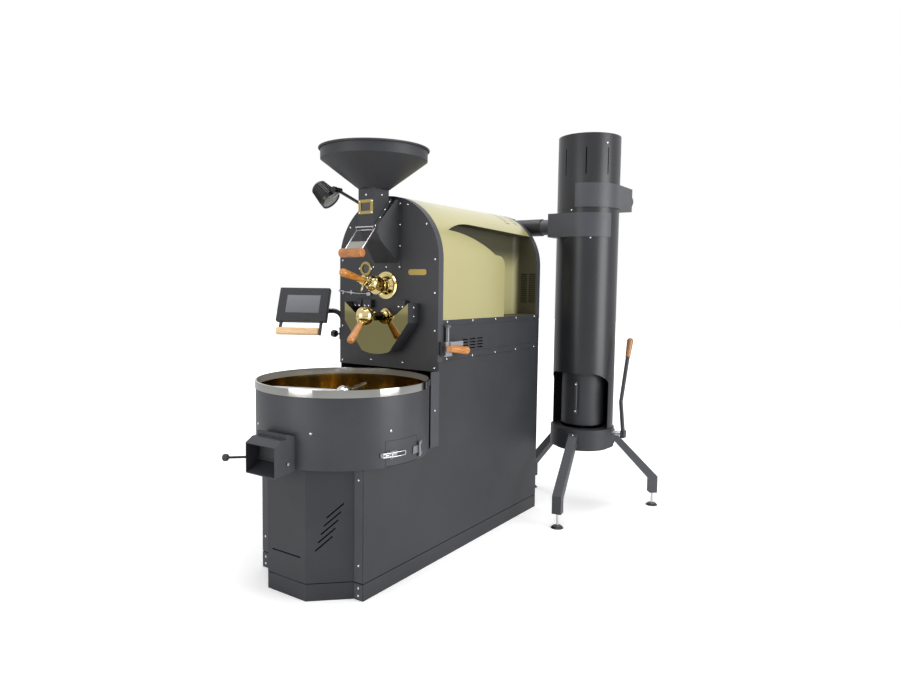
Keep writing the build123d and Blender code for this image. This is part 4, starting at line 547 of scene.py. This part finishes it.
def turned(name: str, profile: Profile, place: Matrix, steps: int = 32) -> Object:
    """Turn a solid on a lathe: a disc is drawn out and sized step by step along its axis.

    Args:
        name: Name of the piece.
        profile: (radius, height) pairs in metres, from the first end to the other.
        place: Where the turned piece goes.
        steps: Facets round the axis.

    Returns:
        The closed, smooth piece, at the origin with its place in its mesh.
    """
    radius, height = profile[0]
    bpy.ops.mesh.primitive_circle_add(
        vertices=steps, radius=radius, fill_type="NGON", location=(0, 0, height)
    )
    piece = bpy.context.object
    piece.name = name
    bpy.ops.object.mode_set(mode="EDIT")
    bpy.ops.mesh.select_all(action="SELECT")
    for next_radius, next_height in profile[1:]:
        bpy.ops.mesh.extrude_region_move(TRANSFORM_OT_translate={"value": (0, 0, next_height - height)})
        size = next_radius / radius
        bpy.ops.transform.resize(value=(size, size, 1.0), center_override=(0, 0, next_height))
        radius, height = next_radius, next_height
    bpy.ops.mesh.select_all(action="SELECT")
    bpy.ops.mesh.normals_make_consistent(inside=False)
    bpy.ops.object.mode_set(mode="OBJECT")
    return put(piece, place)


def plate(name: str, size: Point, place: Matrix, edge: float) -> Object:
    """Cut a plate or block with softened edges.

    Args:
        name: Name of the piece.
        size: Length along its own X, Y and Z.
        place: Where its middle goes.
        edge: Width of the rounding on every edge.

    Returns:
        The piece, at the origin with its place in its mesh.
    """
    bpy.ops.mesh.primitive_cube_add(size=1.0)
    piece = bpy.context.object
    piece.name = name
    piece.scale = size
    settle(piece)
    bpy.ops.object.mode_set(mode="EDIT")
    bpy.ops.mesh.select_all(action="SELECT")
    bpy.ops.mesh.bevel(offset=edge, segments=3, profile=0.5)
    bpy.ops.object.mode_set(mode="OBJECT")
    return put(piece, place)


def rod(name: str, start: Point, end: Point, radius: float, steps: int = 16) -> Object:
    """Draw a round bar with slightly rounded ends between two points.

    Args:
        name: Name of the piece.
        start: Middle of one end.
        end: Middle of the other end.
        radius: Radius of the bar.
        steps: Facets round its axis.

    Returns:
        The piece.
    """
    length = (Vector(end) - Vector(start)).length
    soft = min(radius * 0.4, length * 0.2)
    profile = [(radius - soft, 0.0), (radius, soft), (radius, length - soft), (radius - soft, length)]
    return turned(name, profile, aim(start, end), steps)


def copies(piece: Object, places: Sequence[Matrix]) -> list[Object]:
    """Copy a piece to several places, each copy with its own mesh.

    Args:
        piece: The modelled piece, which goes once it is copied.
        places: Where the copies go.

    Returns:
        The copies, at the origin with their places in their meshes.
    """
    made = []
    for place in places:
        twin = piece.copy()
        twin.data = piece.data.copy()
        bpy.context.scene.collection.objects.link(twin)
        twin.data.transform(place)
        made.append(twin)
    bpy.data.objects.remove(piece)
    return made


def join(name: str, pieces: Sequence[Object]) -> Object:
    """Join several meshes into one piece.

    Args:
        name: Name of the joined piece.
        pieces: The meshes.

    Returns:
        The joined piece.
    """
    select_only(*pieces)
    bpy.ops.object.join()
    pieces[0].name = name
    return pieces[0]


@dataclass
class SubAssembly:
    """What every sub-assembly needs: the materials and the CAD nodes."""

    paints: Paints
    nodes: dict[str, Object]

    def coat(self, piece: Object, finish: Finish | OiledWood) -> None:
        """Give a piece one finish all over."""
        piece.data.materials.clear()
        piece.data.materials.append(self.paints.get(finish))

    def add(self, piece: Object, finish: Finish, body: str, slot: str, *replaced: str) -> None:
        """Finish a piece and let it ride on its body.

        Args:
            piece: The piece.
            finish: Its finish.
            body: Name of the CAD body that carries it.
            slot: Material slot of the record; not used.
            replaced: CAD nodes that the piece stands for.
        """
        self.coat(piece, finish)
        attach(piece, body)
        if replaced:
            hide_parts(*replaced)
        LOG.info("%s rides on %s", piece.name, body)


# ---- carried-over nodes
@dataclass
class CadNodes(SubAssembly):
    """Finishes of the CAD nodes that show as they are."""

    bin_wall: float = 0.341
    bin_floor: float = 0.602
    tube_inside: float = 0.1545
    tube_outside: float = 0.1572
    window_top: float = 0.74
    ducts: tuple[Pair, ...] = ((1.398, 1.522), (1.543, 1.666))  # lower and upper ends
    flap_half_width: float = 0.0705
    flap_front: float = -0.812
    flap_knob: float = -0.9185
    gate_half_width: float = 0.041
    gate_top: float = 1.32
    damper_grip: float = 0.2962
    damper_dark_front: float = -0.1375
    damper_lug: float = 0.9195
    lift_hub: float = 0.6675
    foot_screw: Pair = (0.0102, 0.0698)
    display_centre: Point = (-0.3992, -0.2693, 1.0596)
    display_turn: float = 27.8  # degrees
    display_tilt: float = 25.5
    display_half: Pair = (0.0768, 0.0428)
    display_rise: float = 1.4 * MM
    display_depth: Pair = (-1.9 * MM, -0.3 * MM)
    lens_glass: float = 0.0397
    lens_front: float = 0.9 * MM

    def paint(self, finish: Finish | OiledWood, *names: str) -> None:
        """Give nodes one finish all over.

        Args:
            finish: The finish.
            names: The nodes.
        """
        for name in names:
            self.coat(self.nodes[name], finish)
            LOG.info("%s is finished", name)

    def paint_where(
        self, name: str, finish: Finish | OiledWood, test: Callable[[Vector], bool], facing: bool = False
    ) -> None:
        """Give a second finish to the faces of a node that pass a test.

        Args:
            name: The node.
            finish: The second finish.
            test: Test of a face's centre.
            facing: Whether the test reads the face's normal instead.
        """
        data = self.nodes[name].data
        data.materials.append(self.paints.get(finish))
        number = len(data.materials) - 1
        for face in data.polygons:
            if test(face.normal if facing else face.center):
                face.material_index = number

    def dress(self) -> None:
        """Finish every carried-over node, then the faces that differ within a node."""
        cabinet = ["base_plinth", "side_panels", "front_panel", "rear_panel", "base_deck", "faceplate"]
        cabinet += ["control_strips", "hopper", "hopper_neck", "chute_box", "discharge_box"]
        cabinet += ["cyclone_base", "chaff_drum", "lift_lever", "screen_case"]
        self.paint(Finish.CABINET, *cabinet)
        self.paint(Finish.TRIM, "screen_arm", "screen_post", "lamp_arm", "exhaust_pipe")
        self.paint(Finish.LACQUER, "lamp_head")
        # the bin's lighter coat is painted sheen
        self.paint(Finish.BIN, "bin_shell", "bin_chute", "bin_door")
        # the tube's darker coat is painted shade
        self.paint(Finish.TUBE, "cyclone_body", "cyclone_cap")
        # the strips' lighter coat is partly painted highlight
        self.paint(Finish.STRIP, "trim_strips", "cyclone_legs")
        self.paint(Finish.COVER, "outer_shell")
        # the recess liners carry painted shade on their end walls and under the crown
        self.paint(Finish.LINER, "recess_liners")
        self.paint(Finish.BIB, "discharge_bib")
        self.paint(Finish.BRASS, "trier_flange", "trier_sleeve", "trier", "discharge_lever")
        self.paint(Finish.FRAME_BRASS, "brass_trim")
        self.paint(Finish.STAINLESS, "bin_rim")
        self.paint(Finish.CHROME, "stirrer", "bin_flap", "slide_gate")
        self.paint(Finish.BRUSHED, "damper_block", "damper_handle")
        self.paint(Finish.BRAID, "probe_lead")
        self.paint(Finish.SIEVE, "bin_floor")
        self.paint(Finish.INNER, "drum_chamber", "drum", "bin_drive", "drive_motor", "drum_bearings")
        self.paint(Finish.CASTING, "drum_shaft", "motor_pulley")
        self.paint(Finish.RUBBER, "drive_belt")
        self.paint(Finish.PANE, "sight_glasses")
        self.paint(Finish.BLACK, "arm_knob")
        across = OiledWood("oiled_beech_across", "#bf7b39", "#965823", (1.0, 0.0, 0.0))
        forward = OiledWood("oiled_beech_forward", "#c88536", "#985b23", (0.0, 1.0, -0.1))
        sloping = OiledWood("oiled_beech_sloping", "#c78646", "#a16229", (0.0, 0.66, 0.75))
        self.paint(across, "gate_handle")
        self.paint(forward, "trier_handle")
        self.paint(sloping, "discharge_handle")
        self.paint(OiledWood("walnut_grip", "#9c6a3a", "#6f4522", (0.0, 0.33, 0.94)), "lift_grip")
        self.paint(OiledWood("pale_beech", "#ecc79c", "#d9ae7c", (0.88, 0.47, 0.0)), "screen_bar")
        self.bin_faces()
        self.lever_faces(forward)
        self.tower_faces()

    def bin_faces(self) -> None:
        """Finish the bin's lining, the bright fittings outside it and the flap's plate and knob."""
        for name in ("bin_shell", "bin_door"):
            self.paint_where(name, Finish.LINING, self.inside_bin)
            self.paint_where(name, Finish.FITTING, self.outside_bin)
        self.paint_where("bin_flap", Finish.CABINET, self.on_flap)
        self.paint_where("bin_flap", Finish.BLACK, lambda c: c.y < self.flap_knob)

    def lever_faces(self, wood: OiledWood) -> None:
        """Finish the gate's plate, the bib's cut edge with its painted highlight and the parts of the
        damper.

        Args:
            wood: Finish of the damper's grip.
        """
        # the bib's cut edge is pale: partly its own polished metal, partly a painted highlight
        self.paint_where("discharge_bib", Finish.BIB_EDGE_HIGHLIGHT, lambda n: abs(n.y) < 0.3, facing=True)
        self.paint_where("slide_gate", Finish.SATIN_PLATE, self.on_gate)
        self.paint_where("damper_handle", wood, lambda c: c.x > self.damper_grip)
        # faces of the damper block in front of this plane take the dark trim
        self.paint_where("damper_block", Finish.TRIM, lambda c: c.y < self.damper_dark_front)
        self.paint_where("damper_block", Finish.CASTING, lambda c: c.z > self.damper_lug)

    def tower_faces(self) -> None:
        """Finish the cyclone's inside, ducts and feet, the lift's hub, the display and the lens."""
        low, high = self.foot_screw
        self.paint_where("lift_lever", Finish.CHROME, lambda c: c.x < self.lift_hub)
        self.paint_where("cyclone_legs", Finish.CHROME, lambda c: low < c.z < high)
        self.paint_where("cyclone_legs", Finish.BLACK, lambda c: c.z < low)
        self.paint_where("screen_case", Finish.DISPLAY, self.on_display)
        self.paint_where("lamp_head", Finish.LENS, self.on_lens)
        self.paint_where("cyclone_body", Finish.INNER, self.inside_cyclone)
        # the duct bands take the lighter strip coat against the darker tube: painted light and shade on one
        # powder coat
        self.paint_where("cyclone_body", Finish.STRIP, self.on_duct)
        self.paint_where("cyclone_cap", Finish.STRIP, self.on_duct)

    def inside_bin(self, centre: Vector) -> bool:
        """Tell whether a face lies on the bin's inner wall."""
        above = centre.z > self.bin_floor - 3 * MM
        return above and reach_from(BIN_AXIS, centre) < self.bin_wall - 1.5 * MM

    def outside_bin(self, centre: Vector) -> bool:
        """Tell whether a face belongs to the bright hinge or catch on the bin's outside."""
        return reach_from(BIN_AXIS, centre) > self.bin_wall + 0.6 * MM

    def on_flap(self, centre: Vector) -> bool:
        """Tell whether a face belongs to the flap's plate."""
        return abs(centre.x) < self.flap_half_width and centre.y > self.flap_front

    def on_gate(self, centre: Vector) -> bool:
        """Tell whether a face belongs to the sliding plate between the gate's rods."""
        return centre.z < self.gate_top and abs(centre.x) < self.gate_half_width

    def on_duct(self, centre: Vector) -> bool:
        """Tell whether a face belongs to a duct or its band, outside the cyclone's tube."""
        outside = reach_from(CYCLONE_AXIS, centre) > self.tube_outside
        return outside and any(low < centre.z < high for low, high in self.ducts)

    def inside_cyclone(self, centre: Vector) -> bool:
        """Tell whether a face lies inside the cyclone's tube."""
        return reach_from(CYCLONE_AXIS, centre) < self.tube_inside and centre.z < self.window_top

    def on_display(self, centre: Vector) -> bool:
        """Tell whether a face lies on the recessed display of the screen.

        Args:
            centre: Middle of the face.

        Returns:
            True on the display.
        """
        turn, tilt = math.radians(self.display_turn), math.radians(self.display_tilt)
        right = Vector((math.cos(turn), math.sin(turn), 0))
        level = math.cos(tilt)
        out = Vector((math.sin(turn) * level, -math.cos(turn) * level, math.sin(tilt)))
        place = centre - Vector(self.display_centre)
        across, rise, depth = place.dot(right), place.dot(out.cross(right)), place.dot(out)
        half_width, half_height = self.display_half
        near = abs(across) < half_width and abs(rise - self.display_rise) < half_height
        return near and self.display_depth[0] < depth < self.display_depth[1]

    def on_lens(self, centre: Vector) -> bool:
        """Tell whether a face lies on the lamp's front glass.

        Args:
            centre: Middle of the face.

        Returns:
            True on the glass.
        """
        axis = (Vector(LAMP_LENS) - Vector(LAMP_BACK)).normalized()
        place = centre - Vector(LAMP_LENS)
        depth = place.dot(axis)
        return (place - axis * depth).length < self.lens_glass and depth > self.lens_front


# ---- fasteners
@dataclass
class Fasteners(SubAssembly):
    """Button-head socket screws, one on each seat of the CAD screws."""

    head_radius: float = 4.8 * MM
    head_height: float = 2.8 * MM
    socket_radius: float = 1.9 * MM
    socket_depth: float = 1.6 * MM

    def model(self) -> Object:
        """Turn one button head and sink its hexagon socket."""
        r, h = self.head_radius, self.head_height
        profile = [(r, 0), (r, 0.25 * h), (0.93 * r, 0.55 * h), (0.78 * r, 0.82 * h), (0.55 * r, h)]
        head = turned("socket_screw", profile, Matrix.Identity(4), 20)
        bpy.ops.mesh.primitive_cylinder_add(
            vertices=6, radius=self.socket_radius, depth=2 * self.socket_depth, location=(0, 0, h)
        )
        socket = bpy.context.object
        settle(socket)
        cut = head.modifiers.new("socket", "BOOLEAN")
        cut.operation = "DIFFERENCE"
        cut.object = socket
        select_only(head)
        bpy.ops.object.modifier_apply(modifier=cut.name)
        bpy.data.objects.remove(socket)
        return head

    def islands(self) -> list[list[int]]:
        """Group the triangles of the CAD screws into single heads.

        Returns:
            Triangle numbers of each head.
        """
        mesh = self.nodes["panel_screws"].data
        keys = [rounded(vert.co, 5) for vert in mesh.vertices]
        owner: dict[tuple[float, ...], int] = {}
        groups: dict[int, list[int]] = {}
        home: dict[int, int] = {}
        for face in mesh.polygons:
            corners = [keys[index] for index in face.vertices]
            found = sorted({home[owner[key]] for key in corners if key in owner})
            target = found[0] if found else face.index
            groups.setdefault(target, []).append(face.index)
            home[target] = target
            for other in found[1:]:
                groups[target] += groups.pop(other)
                for label, place in home.items():
                    if place == other:
                        home[label] = target
            for key in corners:
                owner.setdefault(key, target)
        return list(groups.values())

    def seat(self, numbers: Sequence[int]) -> Matrix:
        """Find where a head sits and which way it points.

        Args:
            numbers: Triangle numbers of the head.

        Returns:
            Matrix that takes the modelled head to its seat.
        """
        mesh = self.nodes["panel_screws"].data
        faces = [mesh.polygons[number] for number in numbers]
        flats: dict[tuple[float, ...], float] = {}
        for face in faces:
            key = rounded(face.normal, 1)
            flats[key] = flats.get(key, 0.0) + face.area
        best = max(flats, key=lambda key: flats[key])
        members = [face for face in faces if rounded(face.normal, 1) == best]
        normal = sum((face.normal * face.area for face in members), Vector()).normalized()
        points = [mesh.vertices[v].co for face in faces for v in face.vertices]
        middle = sum(points, Vector()) / len(points)
        flat = [mesh.vertices[v].co for face in members for v in face.vertices]
        reach = max(((p - middle) - normal * (p - middle).dot(normal)).length for p in flat)
        outward = -normal if reach > 0.8 * self.head_radius else normal
        low = min((p - middle).dot(outward) for p in points)
        start = middle + outward * low
        return aim(start, start + outward)

    def build(self) -> None:
        """Model one screw, copy it to every seat and join the copies."""
        places = [self.seat(numbers) for numbers in self.islands()]
        LOG.info("%d screw seats", len(places))
        heads = copies(self.model(), places)
        self.add(join("socket_screws", heads), Finish.CHROME, "root", "screw_steel", "panel_screws")


# ---- trier and lever
@dataclass
class Trier(SubAssembly):
    """Brass turnings of the sampling trier, placed along its sloping axis."""

    centre: Point = (0.0, -0.232, 1.148)
    tilt: float = 13.5  # degrees
    dome_at: float = 27 * MM
    collar_at: float = 64 * MM
    tongue_at: float = 75 * MM
    wings_at: float = 81 * MM
    wing_root: float = 8 * MM
    wing_flatness: float = 0.45
    tongue_root: Point = (-6 * MM, 0.0, -12 * MM)
    tongue_tip: Point = (-13 * MM, -13 * MM, -50 * MM)
    tongue_flatness: float = 0.3

    def along(self, distance: float) -> Vector:
        """Point on the trier's axis."""
        angle = math.radians(self.tilt)
        return Vector(self.centre) + Vector((0, -math.cos(angle), math.sin(angle))) * distance

    def frame(self, distance: float) -> Matrix:
        """Matrix whose +Z runs out along the trier's axis."""
        return aim(self.along(distance), self.along(distance + 0.01))

    def dome(self) -> None:
        """Polished bearing dome in front of the housing, turning with the sleeve."""
        steps = [(20, 0), (31, 1), (33, 4), (33, 8), (30, 11), (29, 16), (26, 22), (21, 27), (16, 29.5)]
        dome = turned("trier_dome", in_metres(steps), self.frame(self.dome_at), 48)
        self.add(dome, Finish.BRASS, "trier_sleeve", "brass")

    def collar(self) -> None:
        """Winged collar, ferrule and leaf-shaped tongue on the rod."""
        beads = [(13, 0), (18, 1), (20, 4), (18, 7), (14, 9), (14, 12), (21, 14), (22, 18), (20, 22)]
        beads += [(14, 24), (12.5, 28), (12.5, 31)]
        pieces = [turned("trier_collar", in_metres(beads), self.frame(self.collar_at), 40)]
        wing = in_metres([(4, 0), (6, 3), (8.5, 10), (9.5, 16), (9, 21), (6.5, 25), (2.5, 27)])
        middle = self.along(self.wings_at)
        for side in (-1, 1):
            start = (side * self.wing_root, middle.y, middle.z)
            squeeze = Matrix.Diagonal((1.0, self.wing_flatness, 1.0, 1.0))
            place = aim(start, (2 * start[0], middle.y, middle.z)) @ squeeze
            pieces.append(turned("trier_wing", wing, place, 20))
        tongue = in_metres([(3, 0), (5, 4), (8.5, 11), (10, 18), (9, 25), (5.5, 31), (1.5, 34)])
        low = self.along(self.tongue_at)
        ends = [tuple(a + b for a, b in zip(low, offset)) for offset in (self.tongue_root, self.tongue_tip)]
        squeeze = Matrix.Diagonal((1.0, self.tongue_flatness, 1.0, 1.0))
        pieces.append(turned("trier_tongue", tongue, aim(*ends) @ squeeze, 20))
        self.add(join("trier_winged_collar", pieces), Finish.BRASS, "trier", "brass")

    def build(self) -> None:
        """Make the dome and the collar."""
        self.dome()
        self.collar()


@dataclass
class BallLever(SubAssembly):
    """Bright ferrule between the lever's ball and its handle, and the beaded boss behind."""

    ball: Point = (0.0, -0.305, 1.022)
    direction: Point = (0.0, -0.6595, -0.7517)
    ferrule_at: float = 36.5 * MM
    boss_y: float = -0.1715

    def build(self) -> None:
        """Turn the ferrule and the boss."""
        heading = Vector(self.direction)
        start = Vector(self.ball) + heading * self.ferrule_at
        ring = in_metres([(12.5, 0), (15.5, 0.8), (15.5, 3.5), (13.2, 4.6), (13.2, 7), (12, 7.6)])
        pieces = [turned("ball_ferrule", ring, aim(start, start + heading), 32)]
        beads = [(26, 0), (28, 1.5), (28, 4), (24, 6), (19, 7), (19, 10), (22, 12), (22, 15), (15, 19)]
        seat = (self.ball[0], self.boss_y, self.ball[2])
        pieces.append(turned("ball_boss", in_metres(beads), aim(seat, self.ball), 48))
        self.add(join("lever_turnings", pieces), Finish.BRASS, "discharge_lever", "brass")


# ---- lamp and screen
@dataclass
class Lamp(SubAssembly):
    """Cooling ribs round the lamp's bell."""

    back_radius: float = 31 * MM
    lens_radius: float = 44 * MM
    ribs: int = 26
    rib_depth: float = 6 * MM
    rib_width: float = 2.4 * MM
    rib_edge: float = 0.8 * MM
    rib_share: float = 0.78  # of the bell's length
    rib_middle: float = 0.46

    def rib_places(self, length: float) -> list[Matrix]:
        """Places of the ribs, spaced evenly round the bell.

        Args:
            length: Length of the bell.

        Returns:
            One matrix for each rib.
        """
        slope = math.atan2(self.lens_radius - self.back_radius, length)
        middle = (self.back_radius + self.lens_radius) / 2
        lift = Matrix.Translation((middle, 0, length * self.rib_middle))
        along = lift @ Matrix.Rotation(slope, 4, "Y")
        return [spot @ along for spot in round_axis(aim(LAMP_BACK, LAMP_LENS), self.ribs)]

    def build(self) -> None:
        """Model one rib and copy it round the bell."""
        length = (Vector(LAMP_LENS) - Vector(LAMP_BACK)).length
        size = (self.rib_depth, self.rib_width, length * self.rib_share)
        rib = plate("lamp_rib", size, Matrix.Identity(4), self.rib_edge)
        ribs = join("lamp_ribs", copies(rib, self.rib_places(length)))
        self.add(ribs, Finish.BLACK, "lamp_head", "charcoal")


@dataclass
class ArmKnob(SubAssembly):
    """Lobed rim of the arm's clamping knob."""

    centre: Point = (-0.362, -0.118, 0.922)
    lobe_circle: float = 12 * MM
    lobe_radius: float = 5 * MM
    edge: float = 1.5 * MM
    width: float = 22 * MM
    lobes: int = 6

    def build(self) -> None:
        """Model one lobe and copy it round the knob."""
        r, w, soft = self.lobe_radius, self.width, self.edge
        profile = [(r - soft, 0), (r, soft), (r, w - soft), (r - soft, w)]
        lobe = turned("knob_lobe", profile, Matrix.Identity(4), 16)
        frame = Matrix.Translation(self.centre) @ Matrix.Rotation(math.radians(90), 4, "Y")
        offset = Matrix.Translation((self.lobe_circle, 0, 0))
        places = [spot @ offset for spot in round_axis(frame, self.lobes)]
        self.add(join("knob_lobes", copies(lobe, places)), Finish.BLACK, "arm_knob", "black_plastic")


# ---- bin and cyclone fittings
@dataclass
class DoorToggle(SubAssembly):
    """Wire bail and lever loop of the clean-out door's toggle latch."""

    radius: float = 0.3505
    low_z: float = 0.5285
    high_z: float = 0.5435
    barrel_angle: float = -17.4  # degrees round the bin, as the next two
    bail_end: float = -23.6
    lever_span: float = 10.2
    wire: float = 1.2 * MM
    lever_wire: float = 1.56 * MM
    bail_drop: float = -1 * MM
    lever_rise: float = 0.3 * MM
    barrel_radius: float = 3.6 * MM
    barrel_over: float = 3 * MM

    def point(self, angle: float, out: float, z: float) -> Point:
        """Point near the bin's wall at an angle in degrees."""
        turn, reach = math.radians(angle), self.radius + out
        return BIN_AXIS[0] + reach * math.cos(turn), BIN_AXIS[1] + reach * math.sin(turn), z

    def loop(self, name: str, angles: Sequence[float], out: float, wire: float) -> list[Object]:
        """Bend a wire loop that follows the bin's wall.

        Args:
            name: Name of its runs.
            angles: Angles in degrees that its two long sides pass.
            out: How far it stands off the latch's own radius.
            wire: Radius of the wire.

        Returns:
            The straight runs with their round ends.
        """
        low = [self.point(angle, out, self.low_z) for angle in angles]
        high = [self.point(angle, out, self.high_z) for angle in reversed(angles)]
        corners = low + high
        return [rod(name, a, b, wire, 12) for a, b in zip(corners, corners[1:])]

    def build(self) -> None:
        """Bend the bail and the lever's loop, and turn the barrel between them."""
        near, far = self.barrel_angle, self.bail_end
        bail = self.loop("bail_run", (near, (near + far) / 2, far), self.bail_drop, self.wire)
        for start, end in ((self.low_z, self.high_z), (self.high_z, self.low_z)):
            ends = self.point(near, 0, start), self.point(far, 0, end)
            bail.append(rod("bail_cross", *ends, self.wire, 12))
        self.add(join("latch_bail", bail), Finish.CHROME, "bin_door", "stainless")
        sides = tuple(near + self.lever_span * k / 3 for k in range(4))
        lever = self.loop("lever_run", sides, self.lever_rise, self.lever_wire)
        low = self.point(near, 0, self.low_z - self.barrel_over)
        high = self.point(near, 0, self.high_z + self.barrel_over)
        lever.append(rod("lever_barrel", low, high, self.barrel_radius, 20))
        self.add(join("latch_lever", lever), Finish.CHROME, "door_latch", "stainless", "door_latch")


@dataclass
class ChaffHandle(SubAssembly):
    """Screws that hold the bar handle of the chaff drum."""

    angle: float = -82.0  # degrees
    seat: float = 0.1419
    heights: tuple[float, ...] = (0.525, 0.662)

    def build(self) -> None:
        """Turn one domed screw and copy it to both ends of the bar."""
        dome = in_metres([(4.6, 0), (4.6, 0.8), (3.6, 2.2), (1.6, 3.0)])
        head = turned("handle_screw", dome, Matrix.Identity(4), 16)
        turn = math.radians(self.angle)
        out = Vector((math.cos(turn), math.sin(turn), 0))
        seats = [Vector((*CYCLONE_AXIS, z)) + out * self.seat for z in self.heights]
        heads = copies(head, [aim(seat, seat + out) for seat in seats])
        self.add(join("handle_screws", heads), Finish.CHROME, "chaff_drum", "screw_steel")


# ---- studio
@dataclass(frozen=True)
class SoftBox:
    """One rectangular light, facing its target."""

    name: str
    place: Point
    target: Point
    size: Pair
    power: float

    def build(self) -> None:
        """Add the light, unseen by the camera."""
        data = bpy.data.lights.new(self.name, "AREA")
        data.shape = "RECTANGLE"
        data.size, data.size_y = self.size
        data.energy = self.power
        lamp = bpy.data.objects.new(self.name, data)
        lamp.matrix_world = aim(self.target, self.place)
        lamp.location = self.place
        lamp.visible_camera = False
        bpy.context.scene.collection.objects.link(lamp)


@dataclass
class Studio:
    """Pale floor, soft lights and the camera."""

    camera_place: Point = (1.8756, -2.4351, 1.1500)
    camera_turn: Point = (34.247, 4.328, 0.756)  # left, down and roll, degrees
    lens: float = 27.378
    floor_colour: str = "#f4f4f4"
    floor_size: float = 40.0
    floor_fade: Pair = (1.5, 4.0)
    floor_lift: Pair = (0.3, 0.9)
    world_light: float = 0.55
    boxes: tuple[SoftBox, ...] = (
        SoftBox("box_front", (-0.9, -4.7, 1.4), (0.0, 0.0, 1.0), (2.6, 2.6), 75),
        SoftBox("box_right", (4.3, 0.5, 1.4), (0.2, 0.0, 1.0), (2.2, 2.6), 125),
        SoftBox("box_top", (0.2, 0.0, 4.2), (0.1, 0.0, 0.5), (3.0, 3.0), 110),
    )

    def camera(self) -> None:
        """Set the camera at standing height, in front of the control side."""
        left, down, roll = (math.radians(angle) for angle in self.camera_turn)
        level = Vector((math.cos(left), math.sin(left), 0.0))
        flat = math.cos(down)
        forward = Vector((-math.sin(left) * flat, math.cos(left) * flat, -math.sin(down)))
        upright = level.cross(forward)
        right = level * math.cos(roll) + upright * math.sin(roll)
        up = upright * math.cos(roll) - level * math.sin(roll)
        data = bpy.data.cameras.new("camera")
        data.sensor_fit = "HORIZONTAL"
        data.sensor_width = 36.0
        data.lens = self.lens
        data.clip_start = 0.05
        camera = bpy.data.objects.new("camera", data)
        columns = Matrix((right, up, -forward)).transposed().to_4x4()
        camera.matrix_world = Matrix.Translation(Vector(self.camera_place)) @ columns
        bpy.context.scene.collection.objects.link(camera)
        bpy.context.scene.camera = camera

    def surround(self) -> None:
        """White world to the camera and in reflections, softer for the light it gives."""
        world = bpy.data.worlds.new("surround")
        world.use_nodes = True
        nodes = Nodes(world.node_tree)
        path = nodes.add("LightPath").outputs
        clear = {0: path["Is Camera Ray"], 1: path["Is Transmission Ray"]}
        direct = nodes.add("Math", {"operation": "MAXIMUM"}, clear)
        seen = nodes.add("Math", {"operation": "MAXIMUM"}, {0: direct, 1: path["Is Glossy Ray"]})
        strength = nodes.add("MapRange", {"To Min": self.world_light, "To Max": 1.0}, {"Value": seen})
        ground = nodes.add("Background", {"Color": linear("#ffffff")}, {"Strength": strength})
        nodes.add("OutputWorld", links={"Surface": ground})
        bpy.context.scene.world = world

    def floor(self) -> None:
        """White sweep under the machine, which keeps its shadow and fades to white far away."""
        bpy.ops.mesh.primitive_plane_add(size=self.floor_size, location=(0, 0, -0.2 * MM))
        floor = bpy.context.object
        floor.name = "floor"
        nodes = MaterialNodes("white_sweep")
        material = nodes.finish({"Base Color": linear(self.floor_colour), "Roughness": 0.9}, {})
        away = nodes.add("VectorMath", {"operation": "LENGTH"}, {0: nodes.place()})
        near, far = self.floor_fade
        low, high = self.floor_lift
        span = {"From Min": near, "From Max": far, "To Min": low, "To Max": high}
        fade = nodes.add("MapRange", span, {"Value": away.outputs["Value"]})
        path = nodes.add("LightPath")
        lift = nodes.add("Math", {"operation": "MULTIPLY"}, {0: fade, 1: path.outputs["Is Camera Ray"]})
        glow = nodes.add("Emission", {"Color": linear("#ffffff")}, {"Strength": lift})
        both = nodes.add("AddShader", links={0: nodes.shader, 1: glow})
        nodes.feed(nodes.output, {}, {"Surface": both})
        floor.data.materials.append(material)

    def build(self) -> None:
        """Set up camera, lights, surround and floor."""
        self.camera()
        for box in self.boxes:
            box.build()
        self.surround()
        self.floor()
        bpy.context.scene.view_settings.view_transform = "Standard"


def main() -> None:
    """Build the sub-assemblies in order."""
    logging.basicConfig(level=logging.INFO, format="%(message)s")
    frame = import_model()
    paints = Paints()
    nodes = frame["nodes"]
    CadNodes(paints, nodes).dress()
    for kind in (Fasteners, Trier, BallLever, Lamp, ArmKnob, DoorToggle, ChaffHandle):
        kind(paints, nodes).build()
    Studio().build()


if __name__ == "__main__":
    main()
